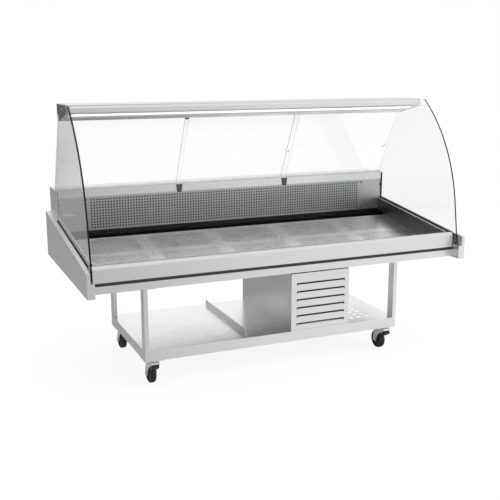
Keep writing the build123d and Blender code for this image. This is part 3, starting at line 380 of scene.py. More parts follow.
def bumped(tree, shader, height, distance):
    """Bump on the shader's normal from a height."""
    bump = node(tree, "Bump", Strength=0.6, Distance=distance, Height=height)
    fill(tree, shader, Normal=bump.outputs["Normal"])


def brushed_metal(name, tone, roughness, along):
    """Satin metal brushed along one axis, with faint wiping marks in its gloss."""
    material, tree, shader = new_material(name, Metallic=1.0)
    grain = shared(tree, "brushed_grain", Stretch=STRETCH[along])["Grain"]
    lines = ranged(tree, grain, roughness - 0.04, roughness + 0.04)
    wiping = ranged(tree, shared(tree, "handling_marks")["Mask"], -0.02, 0.04)
    tones = mixed_colour(tree, grain, shade(tone, 0.96), shade(tone, 1.04))
    fill(tree, shader, Base_Color=tones, Roughness=calculated(tree, "ADD", lines, wiping))
    bumped(tree, shader, grain, 0.00002)
    return material


def recoloured(material, mask, tone, other):
    """Give a metal one tone, and another where a mask is 1."""
    tree = material.node_tree
    fill(tree, tree.nodes["Principled BSDF"], Base_Color=mixed_colour(tree, mask, tone, other))
    return material


def inward_shaded_metal(name, tone, inward_shade, roughness, inward):
    """Brushed metal with painted shade: a dark colour on the faces that look inward."""
    material = brushed_metal(name, tone, roughness, "x")
    tree = material.node_tree
    # painted shade: the dark colour where the face looks inward
    return recoloured(material, calculated(tree, "GREATER_THAN", facing(tree, inward), 0.5), tone, inward_shade)


def shaded_basin_metal(name, tone, trough_shade, roughness, start, height):
    """Brushed metal with painted shade: a darker colour in the trough, behind a start and below a height."""
    material = brushed_metal(name, tone, roughness, "x")
    tree = material.node_tree
    place = coordinates(tree, "Object")
    fade = 0.01
    behind = between(tree, part_of(tree, place, "Y"), start, start + fade)
    below = between(tree, part_of(tree, place, "Z"), height, height - fade)
    # painted shade: the trough's dark colour behind the start and below the height
    return recoloured(material, calculated(tree, "MULTIPLY", behind, below), tone, trough_shade)


def moulded(name, tone, roughness, pebble, sheen=0.5):
    """Moulded plastic or rubber with a pebbled skin, whose mirror-like part is set by its sheen."""
    material, tree, shader = new_material(name, Specular_IOR_Level=sheen)
    skin = shared(tree, "moulded_texture", Pebble=pebble)
    tones = mixed_colour(tree, skin["Fading"], shade(tone, 0.85), shade(tone, 1.18))
    gloss = ranged(tree, skin["Fading"], roughness - 0.06, roughness + 0.08)
    fill(tree, shader, Base_Color=tones, Roughness=gloss)
    bumped(tree, shader, skin["Height"], 0.0002)
    return material


def pane(name, tint, edge, face, index):
    """Clear glass, dark along its cut edges, where the normal leaves the broad face's.

    Shadow rays pass it with almost no loss.
    """
    material, tree, shader = new_material(name, Transmission_Weight=1.0, IOR=index, Metallic=0.0)
    at_edge = between(tree, calculated(tree, "ABSOLUTE", facing(tree, face)), 0.9, 0.6)
    smears = ranged(tree, shared(tree, "handling_marks")["Mask"], 0.0, 0.012)
    fill(tree, shader, Base_Color=mixed_colour(tree, at_edge, tint, edge), Roughness=smears)
    clear = node(tree, "BsdfTransparent", Color=rgba(shade(tint, 0.97))).outputs["BSDF"]
    in_shadow = node(tree, "LightPath").outputs["Is Shadow Ray"]
    show(tree, mixed_shaders(tree, in_shadow, shader.outputs["BSDF"], clear))
    return material


def lit_opal(name, tone, level, foot, head):
    """Opal plastic with a lamp behind its upper part: the glow fades out between two heights, and below them
    the colour is darkened as painted shade.
    """
    material, tree, shader = new_material(name, Roughness=0.35, Emission_Strength=level)
    lit = between(tree, part_of(tree, coordinates(tree, "Object"), "Z"), foot, head, soft=True)
    # painted shade: the cover's colour is darker below the glow
    plastic = mixed_colour(tree, lit, shade(tone, 0.75), tone)
    glow = mixed_colour(tree, lit, (0.0, 0.0, 0.0), tone)
    fill(tree, shader, Base_Color=plastic, Emission_Color=glow)
    return material


def dress(material, *names):
    """Give these CAD nodes one material."""
    for name in names:
        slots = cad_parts[name].data.materials
        slots.clear()
        slots.append(material)


# Surfaces


def node_points(name):
    """All the corners of a CAD node's mesh."""
    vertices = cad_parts[name].data.vertices
    flat = np.empty(len(vertices) * 3, dtype=np.float32)
    vertices.foreach_get("co", flat)
    return flat.reshape(-1, 3).astype(float)


def broad_face(name):
    """The normal of a CAD node's largest triangle."""
    return tuple(max(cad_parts[name].data.polygons, key=lambda face: face.area).normal)


def grid_quads(rows, columns, close_rows=False):
    """Corner numbers of the quads of a grid of points whose columns go all the way round."""
    index = np.arange(rows * columns).reshape(rows, columns)
    if close_rows:
        index = np.vstack([index, index[:1]])
    index = np.hstack([index, index[:, :1]])
    corners = [index[:-1, :-1], index[:-1, 1:], index[1:, 1:], index[1:, :-1]]
    return np.stack(corners, axis=-1).reshape(-1, 4)


def capped_quads(rows, columns):
    """The quads of a stack of rings, and one face that closes each end."""
    index = np.arange(rows * columns).reshape(rows, columns)
    return [grid_quads(rows, columns), index[:1, ::-1], index[-1:]]


def put_piece(name, points, faces, body, material, smooth=True):
    """A mesh from points and arrays of faces, riding on a body, flat or smooth up to sharp edges."""
    corners = []
    for part in faces:
        corners += part.tolist()
    mesh = bpy.data.meshes.new(name)
    mesh.from_pydata(points.reshape(-1, 3), [], corners)
    if smooth:
        mesh.set_sharp_from_angle(angle=math.radians(35.0))
    else:
        mesh.shade_flat()
    mesh.materials.append(material)
    piece = bpy.data.objects.new(name, mesh)
    bpy.context.scene.collection.objects.link(piece)
    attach(piece, body)
    return piece


def put_sheet(name, points, faces, body, steel, thickness):
    """A piece of flat sheet, with its thickness inwards from the side that its faces point to."""
    piece = put_piece(name, points, faces, body, steel, smooth=False)
    solid = piece.modifiers.new("thickness", "SOLIDIFY")
    solid.thickness = thickness
    solid.offset = -1.0
    return piece


def on_circle(angles):
    """The points of a unit circle at these angles."""
    return np.stack([np.cos(angles), np.sin(angles)], axis=-1)


def full_turn(sides):
    """Even angles all the way round."""
    return np.linspace(0, 2 * np.pi, sides, endpoint=False)


def quarter_turn(steps):
    """Even angles from 0 to a right angle."""
    return np.linspace(0, np.pi / 2, steps)


def turned(profile, sides, direction):
    """A surface of revolution: each (radius, height) of the profile at every angle about a unit direction."""
    ahead = np.array(direction, float)
    helper = np.eye(3)[np.argmin(np.abs(ahead))]
    side = np.cross(helper, ahead)
    side /= np.linalg.norm(side)
    radius, height = np.array(profile, float).T
    ring = on_circle(full_turn(sides)) @ np.array([side, np.cross(ahead, side)])
    return radius[:, None, None] * ring[None] + height[:, None, None] * ahead


def copied(faces, copies, step):
    """The faces of several copies of a shape that has this many points each."""
    offsets = np.arange(copies) * step
    return [(part[None] + offsets[:, None, None]).reshape(-1, part.shape[1]) for part in faces]


def heads(profile, sides, direction, places):
    """One turned head at many places, as an array of points and the arrays of all their faces."""
    head = turned(profile, sides, direction).reshape(-1, 3)
    points = np.array(places, float)[:, None, :] + head[None]
    return points, copied(capped_quads(len(profile), sides), len(places), len(head))


def stacked(outlines, rises, direction, up):
    """Outlines of (side, up) carried along a unit direction, each to its own rise, as points and faces."""
    flat = np.array(outlines)
    ahead, upward = np.array(direction), np.array(up)
    spread = flat[..., :1] * np.cross(upward, ahead) + flat[..., 1:] * upward
    return spread + np.array(rises)[:, None, None] * ahead, capped_quads(*flat.shape[:2])


def extruded(outline, left, right):
    """A (y, z) outline carried along X."""
    return stacked([outline, outline], (left, right), RIGHT, UP)


def both_sides(right, faces):
    """A shape on the right together with its mirror image on the left."""
    mirrored = [part[:, ::-1] + right.size // 3 for part in faces]
    return np.stack([right, right * (-1.0, 1.0, 1.0)]), faces + mirrored


def rounded_outline(width, height, corner):
    """A rectangle with round corners: a quarter turn about each of four corner centres."""
    angles = quarter_turn(5)[None] + np.arange(4)[:, None] * np.pi / 2
    centres = np.array([(1, 1), (-1, 1), (-1, -1), (1, -1)]) * (width / 2 - corner, height / 2 - corner)
    return (centres[:, None] + corner * on_circle(angles)).reshape(-1, 2)


def perforated(across, along, holed, hole, squareness, place):
    """A sheet of cells on a grid. A holed cell is a ring round an eight-sided hole, another is one quad.

    across and along are the cells' edges, holed marks the cells, and place turns the two lengths into points.
    A hole's corners lie on its circle, pulled towards a square by squareness.
    """
    u, v = np.meshgrid(across, along)
    corner = np.arange(u.size).reshape(u.shape)
    square = np.stack([corner[:-1, :-1], corner[:-1, 1:], corner[1:, 1:], corner[1:, :-1]], axis=-1)
    middle_u = (u[:-1, :-1] + u[:-1, 1:]) / 2
    middle_v = (v[:-1, :-1] + v[1:, :-1]) / 2
    cosine, sine = on_circle(np.radians(-112.5 + 45 * np.arange(8))).T
    reach = hole / 2 * ((1 - squareness) + squareness / np.maximum(abs(cosine), abs(sine)))
    hole_u = middle_u[holed][:, None] + reach * cosine
    hole_v = middle_v[holed][:, None] + reach * sine
    points = np.concatenate([place(u.ravel(), v.ravel()), place(hole_u.ravel(), hole_v.ravel())])
    h = (u.size + np.arange(hole_u.size).reshape(-1, 8)).T
    c = square[holed].T
    sides = [(c[i], c[(i + 1) % 4], h[2 * i + 1], h[2 * i]) for i in range(4)]
    corners = [(c[i], h[2 * i], h[2 * i - 1]) for i in range(4)]
    quads = np.concatenate([square[~holed]] + [np.stack(side, axis=-1) for side in sides])
    triangles = np.concatenate([np.stack(part, axis=-1) for part in corners])
    return points, [quads, triangles]


def cell_edges(low, high, pitch):
    """Edges of whole cells of about this pitch between two limits."""
    return np.linspace(low, high, max(1, round((high - low) / pitch)) + 1)


# Deck and grille


FOLD_STEPS = 5


def folded_section(points, bend):
    """Length along a deck plate and its (y, z) there: front skirt, fold, sloping top, fold, rear skirt.

    The top runs through the two upper corners of the CAD plate; each fold is a quarter turn of radius bend.
    """
    y0, y1 = points[:, 1].min(), points[:, 1].max()
    front = points[points[:, 1] < y0 + SAME_PLACE][:, 2]
    rear = points[points[:, 1] > y1 - SAME_PLACE][:, 2]
    slope = (rear.max() - front.max()) / (y1 - y0)
    turn = quarter_turn(FOLD_STEPS)
    front_y = y0 + bend - bend * np.cos(turn)
    front_z = front.max() + slope * bend - bend + bend * np.sin(turn)
    rear_y = y1 - bend + bend * np.sin(turn)
    rear_z = rear.max() - slope * bend - bend + bend * np.cos(turn)
    y = np.concatenate([[y0], front_y, rear_y, [y1]])
    z = np.concatenate([[front.min()], front_z, rear_z, [rear.min()]])
    along = np.concatenate([[0], np.cumsum(np.hypot(np.diff(y), np.diff(z)))])
    return along, y, z


def holed_rows(along, y, patterns):
    """The edges of a deck plate's rows along its section, and which rows have holes, in two fields."""
    margin, half_strip = patterns.deck_margin, patterns.deck_strip / 2
    strip = np.interp(patterns.deck_strip_y, y, along)
    top_start, top_end = along[FOLD_STEPS : FOLD_STEPS + 2]
    fields = [(top_start + margin, strip - half_strip), (strip + half_strip, top_end - margin / 2)]
    rows = [cell_edges(*field, patterns.deck_pitch) for field in fields]
    edges = np.unique(np.concatenate([along, *rows]))
    centres = (edges[:-1] + edges[1:]) / 2
    return edges, np.any([(centres > low) & (centres < high) for low, high in fields], axis=0)


class DeckPanels(Operator):
    """Replace the five deck plates with finely perforated ones"""

    bl_idname = "fishcase.deck_panels"
    bl_label = "Deck panels"

    def execute(self, context):
        finishes = context.scene.case_finishes
        patterns = context.scene.case_patterns
        steel = brushed_metal("deck_sheet", finishes.deck, roughness=0.28, along="x")
        for number in DECK_PLATES:
            self.panel(number, patterns, steel)
        return {"FINISHED"}

    def panel(self, number, patterns, steel):
        """One plate: cells across X and along its folded section, holed between plain margins."""
        points = node_points(f"deck_plate_{number}")
        x0, x1 = points[:, 0].min(), points[:, 0].max()
        along, y, z = folded_section(points, patterns.fold)
        edges, rows = holed_rows(along, y, patterns)
        margin = patterns.deck_margin
        across = np.concatenate([[x0], cell_edges(x0 + margin, x1 - margin, patterns.deck_pitch), [x1]])
        columns = np.ones(len(across) - 1, dtype=bool)
        columns[[0, -1]] = False

        def place(u, v):
            return np.column_stack([u, np.interp(v, along, y), np.interp(v, along, z)])

        holed = rows[:, None] & columns[None]
        sheet, faces = perforated(across, edges, holed, patterns.deck_hole, 0.0, place)
        body = f"lift_out_plate_{number}"
        piece = put_sheet(f"deck_panel_{number}", sheet, faces, body, steel, patterns.deck_sheet)
        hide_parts(f"deck_plate_{number}")


class GrillePanel(Operator):
    """Replace the evaporator grille with one that has all its square holes"""

    bl_idname = "fishcase.grille_panel"
    bl_label = "Grille panel"

    def execute(self, context):
        finishes = context.scene.case_finishes
        patterns = context.scene.case_patterns
        steel = brushed_metal("grille_sheet", finishes.grille, finishes.steel_roughness, along="x")
        low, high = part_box("evaporator_grille")
        pitch, side = patterns.grille_pitch, patterns.grille_side
        columns = cell_edges(low.x + side, high.x - side, pitch)
        rows = cell_edges(low.z + patterns.grille_foot, high.z - patterns.grille_head, pitch)
        across = np.concatenate([[low.x], columns, [high.x]])
        along = np.concatenate([[low.z], rows, [high.z]])
        holed = np.zeros((len(along) - 1, len(across) - 1), dtype=bool)
        holed[1:-1, 1:-1] = True

        def place(u, v):
            return np.column_stack([u, np.full(u.shape, low.y), v])

        points, faces = perforated(across, along, holed, patterns.grille_hole, 0.8, place)
        piece = put_sheet("grille_panel", points, faces, "case", steel, patterns.grille_sheet)
        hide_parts("evaporator_grille")
        dress(steel, "grille_end_panels")
        return {"FINISHED"}


# Sheet metal


class SheetMetal(Operator):
    """Brush the steel of the trolley, tank, tower and canopy along each piece's length"""

    bl_idname = "fishcase.sheet_metal"
    bl_label = "Sheet metal"

    def execute(self, context):
        finishes = context.scene.case_finishes
        steel, rough = finishes.steel, finishes.steel_roughness
        lengthways = brushed_metal("steel_along_length", steel, rough, along="x")
        depthways = brushed_metal("steel_along_depth", steel, rough, along="y")
        upright = brushed_metal("steel_upright", steel, rough, along="z")
        deck_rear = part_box("deck_plate_1")[1]
        # painted shade: the liner darker still in the trough behind the deck's rear edge
        trough_shade = {"trough_shade": finishes.trough_shade, "start": deck_rear.y, "height": deck_rear.z + 0.02}
        # painted shade: the liner's near-black colour stands in for the shade inside the basin
        shade_painted = shaded_basin_metal("basin_steel_painted_shade", finishes.basin, roughness=rough, **trough_shade)
        # painted shade: the tower's rear panel is dark on its inner face, for the shade behind the grille
        rear_panel_shaded = inward_shaded_metal("steel_inward_painted_shade", steel, finishes.trough_shade, rough, inward=FRONT)
        # painted light: the shelf is the same steel made lighter, for the bright light on it
        shelf_painted_light = brushed_metal("shelf_steel_painted_light", shade(steel, 1.18), roughness=0.25, along="x")
        # painted shade: near-black shell, for the dark gap under the fascia
        shell = brushed_metal("shell_steel_painted_shade", finishes.shell, roughness=0.45, along="x")
        polished = brushed_metal("steel_polished", finishes.polished, roughness=0.16, along="x")
        aluminium = brushed_metal("aluminium_extruded", finishes.aluminium, roughness=0.3, along="x")
        dress(lengthways, "base_rails", "front_fascia", "front_lower_rail", "canopy_shell", "louvre_panel")
        dress(depthways, "left_cheek", "right_cheek", "tower_end_panels", "unit_cover")
        dress(upright, "legs")
        dress(shade_painted, "basin_liner")
        dress(rear_panel_shaded, "tower_rear_panel")
        dress(shelf_painted_light, "bottom_shelf")
        dress(shell, "tank_shell")
        dress(polished, "worktop")
        dress(aluminium, "glass_hinge_bar", "door_top_track")
        dress(moulded("track_plastic", finishes.track, roughness=0.35, pebble=1500.0), "door_bottom_track")
        return {"FINISHED"}


class CheekReturns(Operator):
    """Close the front of each end cheek's open side with its folded return"""

    bl_idname = "fishcase.cheek_returns"
    bl_label = "Cheek returns"

    def execute(self, context):
        finishes = context.scene.case_finishes
        steel = brushed_metal("return_steel", finishes.steel, finishes.steel_roughness, along="z")
        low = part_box("right_cheek")[0]
        corners = node_points("right_cheek")
        front_edge = np.abs(corners[:, :2] - (low.x, low.y)).max(axis=1) < SAME_PLACE
        sheet, behind_fascia = 0.0015, 0.02
        y0, y1 = low.y + sheet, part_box("front_fascia")[0].y + behind_fascia
        z0, z1 = low.z + sheet, corners[front_edge][:, 2].max() - sheet
        outline = [(y0, z0), (y1, z0), (y1, z1), (y0, z1)]
        points, faces = both_sides(*extruded(outline, low.x, low.x + sheet))
        put_piece("cheek_returns", points, faces, "case", steel, smooth=False)
        return {"FINISHED"}


class RimBeads(Operator):
    """Add the rolled bead along the top of the basin's two side walls"""

    bl_idname = "fishcase.rim_beads"
    bl_label = "Rim beads"

    def execute(self, context):
        finishes = context.scene.case_finishes
        patterns = context.scene.case_patterns
        steel = brushed_metal("rim_steel", finishes.steel, roughness=0.3, along="y")
        front, rear = self.wall_top(patterns.flange)
        outline = patterns.bead / 2 * on_circle(full_turn(12))
        reach = np.linalg.norm(rear - front)
        ahead = (rear - front) / reach
        rod, rings = stacked([outline, outline], (0.0, reach), ahead, np.cross(RIGHT, ahead))
        seat = np.array((0.0016, 0.0, -0.0008))
        points, faces = both_sides(front + seat + rod, rings)
        put_piece("basin_rim_beads", points, faces, "case", steel)
        return {"FINISHED"}

    def wall_top(self, flange):
        """The two ends of the right wall's upper inner edge, from the front to the grille."""
        points = node_points("basin_liner")
        inner = points[:, 0].max() - flange
        edge = points[np.abs(points[:, 0] - inner) < SAME_PLACE].round(5).tolist()
        front = np.array(max(edge, key=lambda place: (-place[1], place[2])))
        rear = np.array(max(edge, key=lambda place: (place[1], place[2])))
        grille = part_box("evaporator_grille")[0].y
        return front, front + (rear - front) * (grille - front[1]) / (rear[1] - front[1])


class LouvreLips(Operator):
    """Add the pressed lip along the lower half of each louvre of the condensing unit"""

    bl_idname = "fishcase.louvre_lips"
    bl_label = "Louvre lips"

    def execute(self, context):
        finishes = context.scene.case_finishes
        steel = brushed_metal("lip_steel", finishes.steel, finishes.steel_roughness, along="x")
        low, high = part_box("louvre_panel")
        left_margin, right_margin = 0.034, 0.031
        foot, lip_height, bulge, sheet = -0.0072, 0.0056, 0.0012, 0.0009
        first, pitch, louvres = 0.056, 0.0425, 6
        rise = np.linspace(0.0, 1.0, 6)
        outer = np.stack([low.y - bulge * rise**2, foot + lip_height * rise], axis=-1)
        section = np.concatenate([outer[::-1], outer + (sheet, 0.0)])
        lip, faces = extruded(section, low.x + left_margin, high.x - right_margin)
        heights = high.z - first - pitch * np.arange(louvres)
        points = lip.reshape(-1, 3)[None] + heights[:, None, None] * np.array(UP)
        faces = copied(faces, louvres, lip.size // 3)
        put_piece("louvre_lips", points, faces, "case", steel)
        return {"FINISHED"}


# Glass, seals and canopy


class Panes(Operator):
    """Make the side panes, the front pane and the doors of clear glass, with dark edges on the side panes and
    doors
    """

    bl_idname = "fishcase.panes"
    bl_label = "Panes"

    def execute(self, context):
        finishes = context.scene.case_finishes
        tint, edge = finishes.glass, finishes.glass_edge
        side = pane("side_pane_glass", tint, edge, broad_face("left_side_glass"), index=1.45)
        door = pane("door_pane_glass", tint, shade(edge, 6.0), broad_face("door_middle"), index=1.45)
        front = pane("front_pane_glass", tint, tint, RIGHT, index=1.06)
        dress(side, "left_side_glass", "right_side_glass")
        dress(door, "door_left", "door_middle", "door_right")
        dress(front, "front_glass")
        return {"FINISHED"}


def clamp_section(low, high):
    """The clamp's (y, z) outline: flat back and top, in front a wide round above and a small one below."""
    turn = quarter_turn(7)
    nose, heel = 0.006, 0.0025
    top_y = low.y + nose - nose * np.sin(turn)
    top_z = high.z - nose + nose * np.cos(turn)
    foot_y = low.y + heel - heel * np.cos(turn)
    foot_z = low.z + heel - heel * np.sin(turn)
    y = np.concatenate([[high.y], top_y, foot_y, [high.y]])
    z = np.concatenate([[high.z], top_z, foot_z, [low.z]])
    return np.stack([y, z], axis=-1)


class GlassClamp(Operator):
    """Replace the clamp along the front glass with a rounded extrusion"""

    bl_idname = "fishcase.glass_clamp"
    bl_label = "Glass clamp"

    def execute(self, context):
        finishes = context.scene.case_finishes
        aluminium = brushed_metal("clamp_aluminium", finishes.aluminium, roughness=0.3, along="x")
        low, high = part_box("glass_clamp")
        foot_inset, top_inset = 0.003, 0.007
        low.z += foot_inset
        high.z -= top_inset
        points, faces = extruded(clamp_section(low, high), low.x, high.x)
        body, slot = "lifting_front_glass", "aluminium_profile"
        piece = put_piece("clamp_profile", points, faces, body, aluminium)
        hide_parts("glass_clamp")
        return {"FINISHED"}


class SealsAndCanopy(Operator):
    """Finish the black seals, the end caps, the clips and the lit lamp cover"""

    bl_idname = "fishcase.seals_and_canopy"
    bl_label = "Seals and canopy"

    def execute(self, context):
        finishes = context.scene.case_finishes
        low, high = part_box("lamp_diffuser")
        middle = (low.z + high.z) / 2
        opal = lit_opal("lamp_opal", finishes.opal, level=0.8, foot=middle - 0.009, head=middle - 0.004)
        seal = moulded("seal_rubber", finishes.rubber, roughness=0.7, pebble=700.0, sheen=0.15)
        dress(seal, "glass_gaskets")
        dress(moulded("cap_plastic", finishes.cap, roughness=0.5, pebble=900.0), "canopy_end_caps")
        dress(moulded("clip_plastic", finishes.clip, roughness=0.5, pebble=900.0), "worktop_clips")
        dress(opal, "lamp_diffuser")
        dress(moulded("lamp_board", finishes.board, roughness=0.5, pebble=1200.0), "led_strip")
        return {"FINISHED"}


# Castors


def wheel_profile(radius, half, bore, hub):
    """The closed (radius, x) outline of a wheel: hub boss, dished web, round shoulders and crowned tread."""
    turn = quarter_turn(6)
    shoulder = 0.16 * radius
    crown = 0.02 * radius
    side_r = radius - crown - shoulder + shoulder * np.sin(turn)
    side_x = half - shoulder + shoulder * np.cos(turn)
    boss = [(bore, hub), (0.3 * radius, hub)]
    dish = [(0.36, 0.14), (0.68, 0.12), (0.74, 0.0)]
    web = [(r * radius, half - depth * radius) for r, depth in dish]
    right = boss + web + list(zip(side_r, side_x)) + [(radius, 0.25 * half)]
    left = [(r, -x) for r, x in reversed(right)]
    return right + left


def hexagon_head(across, height):
    """A six-sided head by its (radius, height) rings: upright sides and a chamfered top."""
    r = across / 2
    return [(r, 0.0), (r, 0.78 * height), (0.84 * r, height)]


def bent(start, pull, end):
    """Points of a quadratic curve: (1 - t)^2 start + 2 t (1 - t) pull + t^2 end."""
    t = np.linspace(0, 1, 9)[:, None]
    return (1 - t) ** 2 * np.array(start) + 2 * t * (1 - t) * np.array(pull) + t**2 * np.array(end)


def pedal_section():
    """A pedal's (y, z) outline about its pin: a saddle round the pin, a toe and an edge back to the wheel."""
    saddle, top, heel = 0.0058, 0.0035, 0.0095
    toe = (-0.0305, -0.0065)
    seat = saddle * on_circle(np.linspace(0, -np.pi, 9))
    upper = bent((-saddle, top), (-0.028, top), toe)
    lower = bent(toe, (-0.03, -0.0125), (heel, -0.033))
    return np.concatenate([[(heel, top), (saddle, top)], seat, upper, lower[1:]])


class Castors(Operator):
    """Replace the castor wheels and pedals with rounder ones, add bolts and nuts, finish forks and plates"""

    bl_idname = "fishcase.castors"
    bl_label = "Castors"

    def execute(self, context):
        finishes = context.scene.case_finishes
        patterns = context.scene.case_patterns
        zinc = brushed_metal("castor_zinc", finishes.zinc, roughness=0.32, along="z")
        plastic = moulded("pedal_plastic", finishes.plastic, roughness=0.42, pebble=800.0)
        tyre = moulded("wheel_rubber", finishes.rubber, roughness=0.5, pebble=600.0)
        dress(zinc, "castor_plates", *[f"castor_fork_{place}" for place in CASTORS])
        for place in CASTORS:
            self.wheel(place, tyre, patterns.tyre_sides)
            self.axle_nuts(place, patterns.nut, zinc)
        for place in BRAKED_CASTORS:
            self.pedal(place, plastic)
        self.plate_bolts(patterns.bolt, zinc)
        return {"FINISHED"}

    def wheel(self, place, tyre, sides):
        """A wheel turned about X, inside its CAD node's box."""
        low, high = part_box(f"castor_wheel_{place}")
        centre = np.array((low + high) / 2)
        radius, half = (high.z - low.z) / 2, (high.x - low.x) / 2
        boss_height, bore = 0.0015, 0.0061
        profile = wheel_profile(radius, half - boss_height, bore, half)
        points = centre + turned(profile, sides, RIGHT)
        quads = grid_quads(*points.shape[:2], close_rows=True)[:, ::-1]
        wheel = put_piece(f"wheel_{place}", points, [quads], f"castor_roller_{place}", tyre)
        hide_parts(f"castor_wheel_{place}")

    def axle_nuts(self, place, across, zinc):
        """A nut on each outer face of the fork, about the wheel's own axis."""
        low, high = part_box(f"castor_wheel_{place}")
        centre = np.array((low + high) / 2)
        fork_face = (high.x - low.x) / 2 + 0.005
        profile = [(r, fork_face + rise) for r, rise in hexagon_head(across, height=0.006)]
        points = centre + np.array([turned(profile, 6, (side, 0.0, 0.0)) for side in (-1.0, 1.0)])
        faces = copied(capped_quads(len(profile), 6), 2, len(profile) * 6)
        put_piece(f"axle_nuts_{place}", points, faces, f"castor_swivel_{place}", zinc)

    def pedal(self, place, plastic):
        """A brake pedal with rounded flanks, in place of its CAD node: one section at four places."""
        low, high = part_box(f"brake_pedal_{place}")
        fork_gap, round_edge, toe_reach, head = 0.0025, 0.0015, 0.031, 0.004
        pin = np.array(((low.x + high.x) / 2, low.y + toe_reach, high.z - head))
        half = (high.x - low.x) / 2 - fork_gap
        shoulder = half - round_edge
        section = pedal_section()
        middle = section.mean(axis=0)
        ends = middle + 0.93 * (section - middle)
        outlines = [ends, section, section, ends]
        block, faces = stacked(outlines, (-half, -shoulder, shoulder, half), RIGHT, UP)
        piece = put_piece(f"pedal_{place}", pin + block, faces, f"brake_{place}", plastic)
        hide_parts(f"brake_pedal_{place}")

    def plate_bolts(self, across, zinc):
        """A bolt head under each corner of the four castor plates."""
        low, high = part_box("castor_plates")
        wide, deep, thick, inset = 0.1, 0.085, 0.0035, 0.012
        x = (low.x + inset, low.x + wide - inset, high.x - wide + inset, high.x - inset)
        y = (low.y + inset, low.y + deep - inset, high.y - deep + inset, high.y - inset)
        places = [(a, b, high.z - thick) for a in x for b in y]
        points, faces = heads(hexagon_head(across, height=0.004), 6, DOWN, places)
        put_piece("castor_bolts", points, faces, "case", zinc)


# Machinery


class Machinery(Operator):
    """Finish the condensing unit, the evaporator, the fans and the other inner pieces"""

    bl_idname = "fishcase.machinery"
    bl_label = "Machinery"

    def execute(self, context):
        finishes = context.scene.case_finishes
        aluminium, zinc = finishes.aluminium, finishes.zinc
        metals = (
            ("condenser_fins", shade(aluminium, 0.85), 0.38, "z", "condenser_coil"),
            # painted shade: near-black fins for the shade inside the tower behind the grille
            ("evaporator_fins_painted_shade", shade(aluminium, 0.06), 0.45, "z", "evaporator_coil"),
            ("shroud_zinc", zinc, 0.42, "x", "condenser_fan_shroud"),
            # painted shade: near-black fan plate inside the tower
            ("fan_plate_painted_shade", shade(zinc, 0.08), 0.45, "x", "evaporator_fan_plate"),
            ("copper_tube", finishes.copper, 0.3, "z", "refrigerant_pipes"),
        )
        for name, tone, roughness, along, piece in metals:
            dress(brushed_metal(name, tone, roughness, along), piece)
        plastic = moulded("inner_plastic", finishes.plastic, roughness=0.42, pebble=800.0)
        dress(plastic, "condenser_fan", "evaporator_fan_left", "evaporator_fan_right")
        dress(plastic, "power_switch", "drain_spigot")
        dress(moulded("compressor_enamel", finishes.plastic, roughness=0.3, pebble=260.0), "compressor")
        dress(moulded("cream_foam", finishes.foam, roughness=0.85, pebble=350.0), "tank_foam")
        return {"FINISHED"}


# Small fittings


def screw_head(diameter):
    """A pan head's (radius, height) rings: a flat foot, a rounded edge and a shallow socket."""
    r = diameter / 2
    turn = quarter_turn(4)
    edge = list(zip(0.62 * r + 0.38 * r * np.cos(turn), 0.42 * r * np.sin(turn)))
    return edge + [(0.36 * r, 0.42 * r), (0.3 * r, 0.16 * r)]


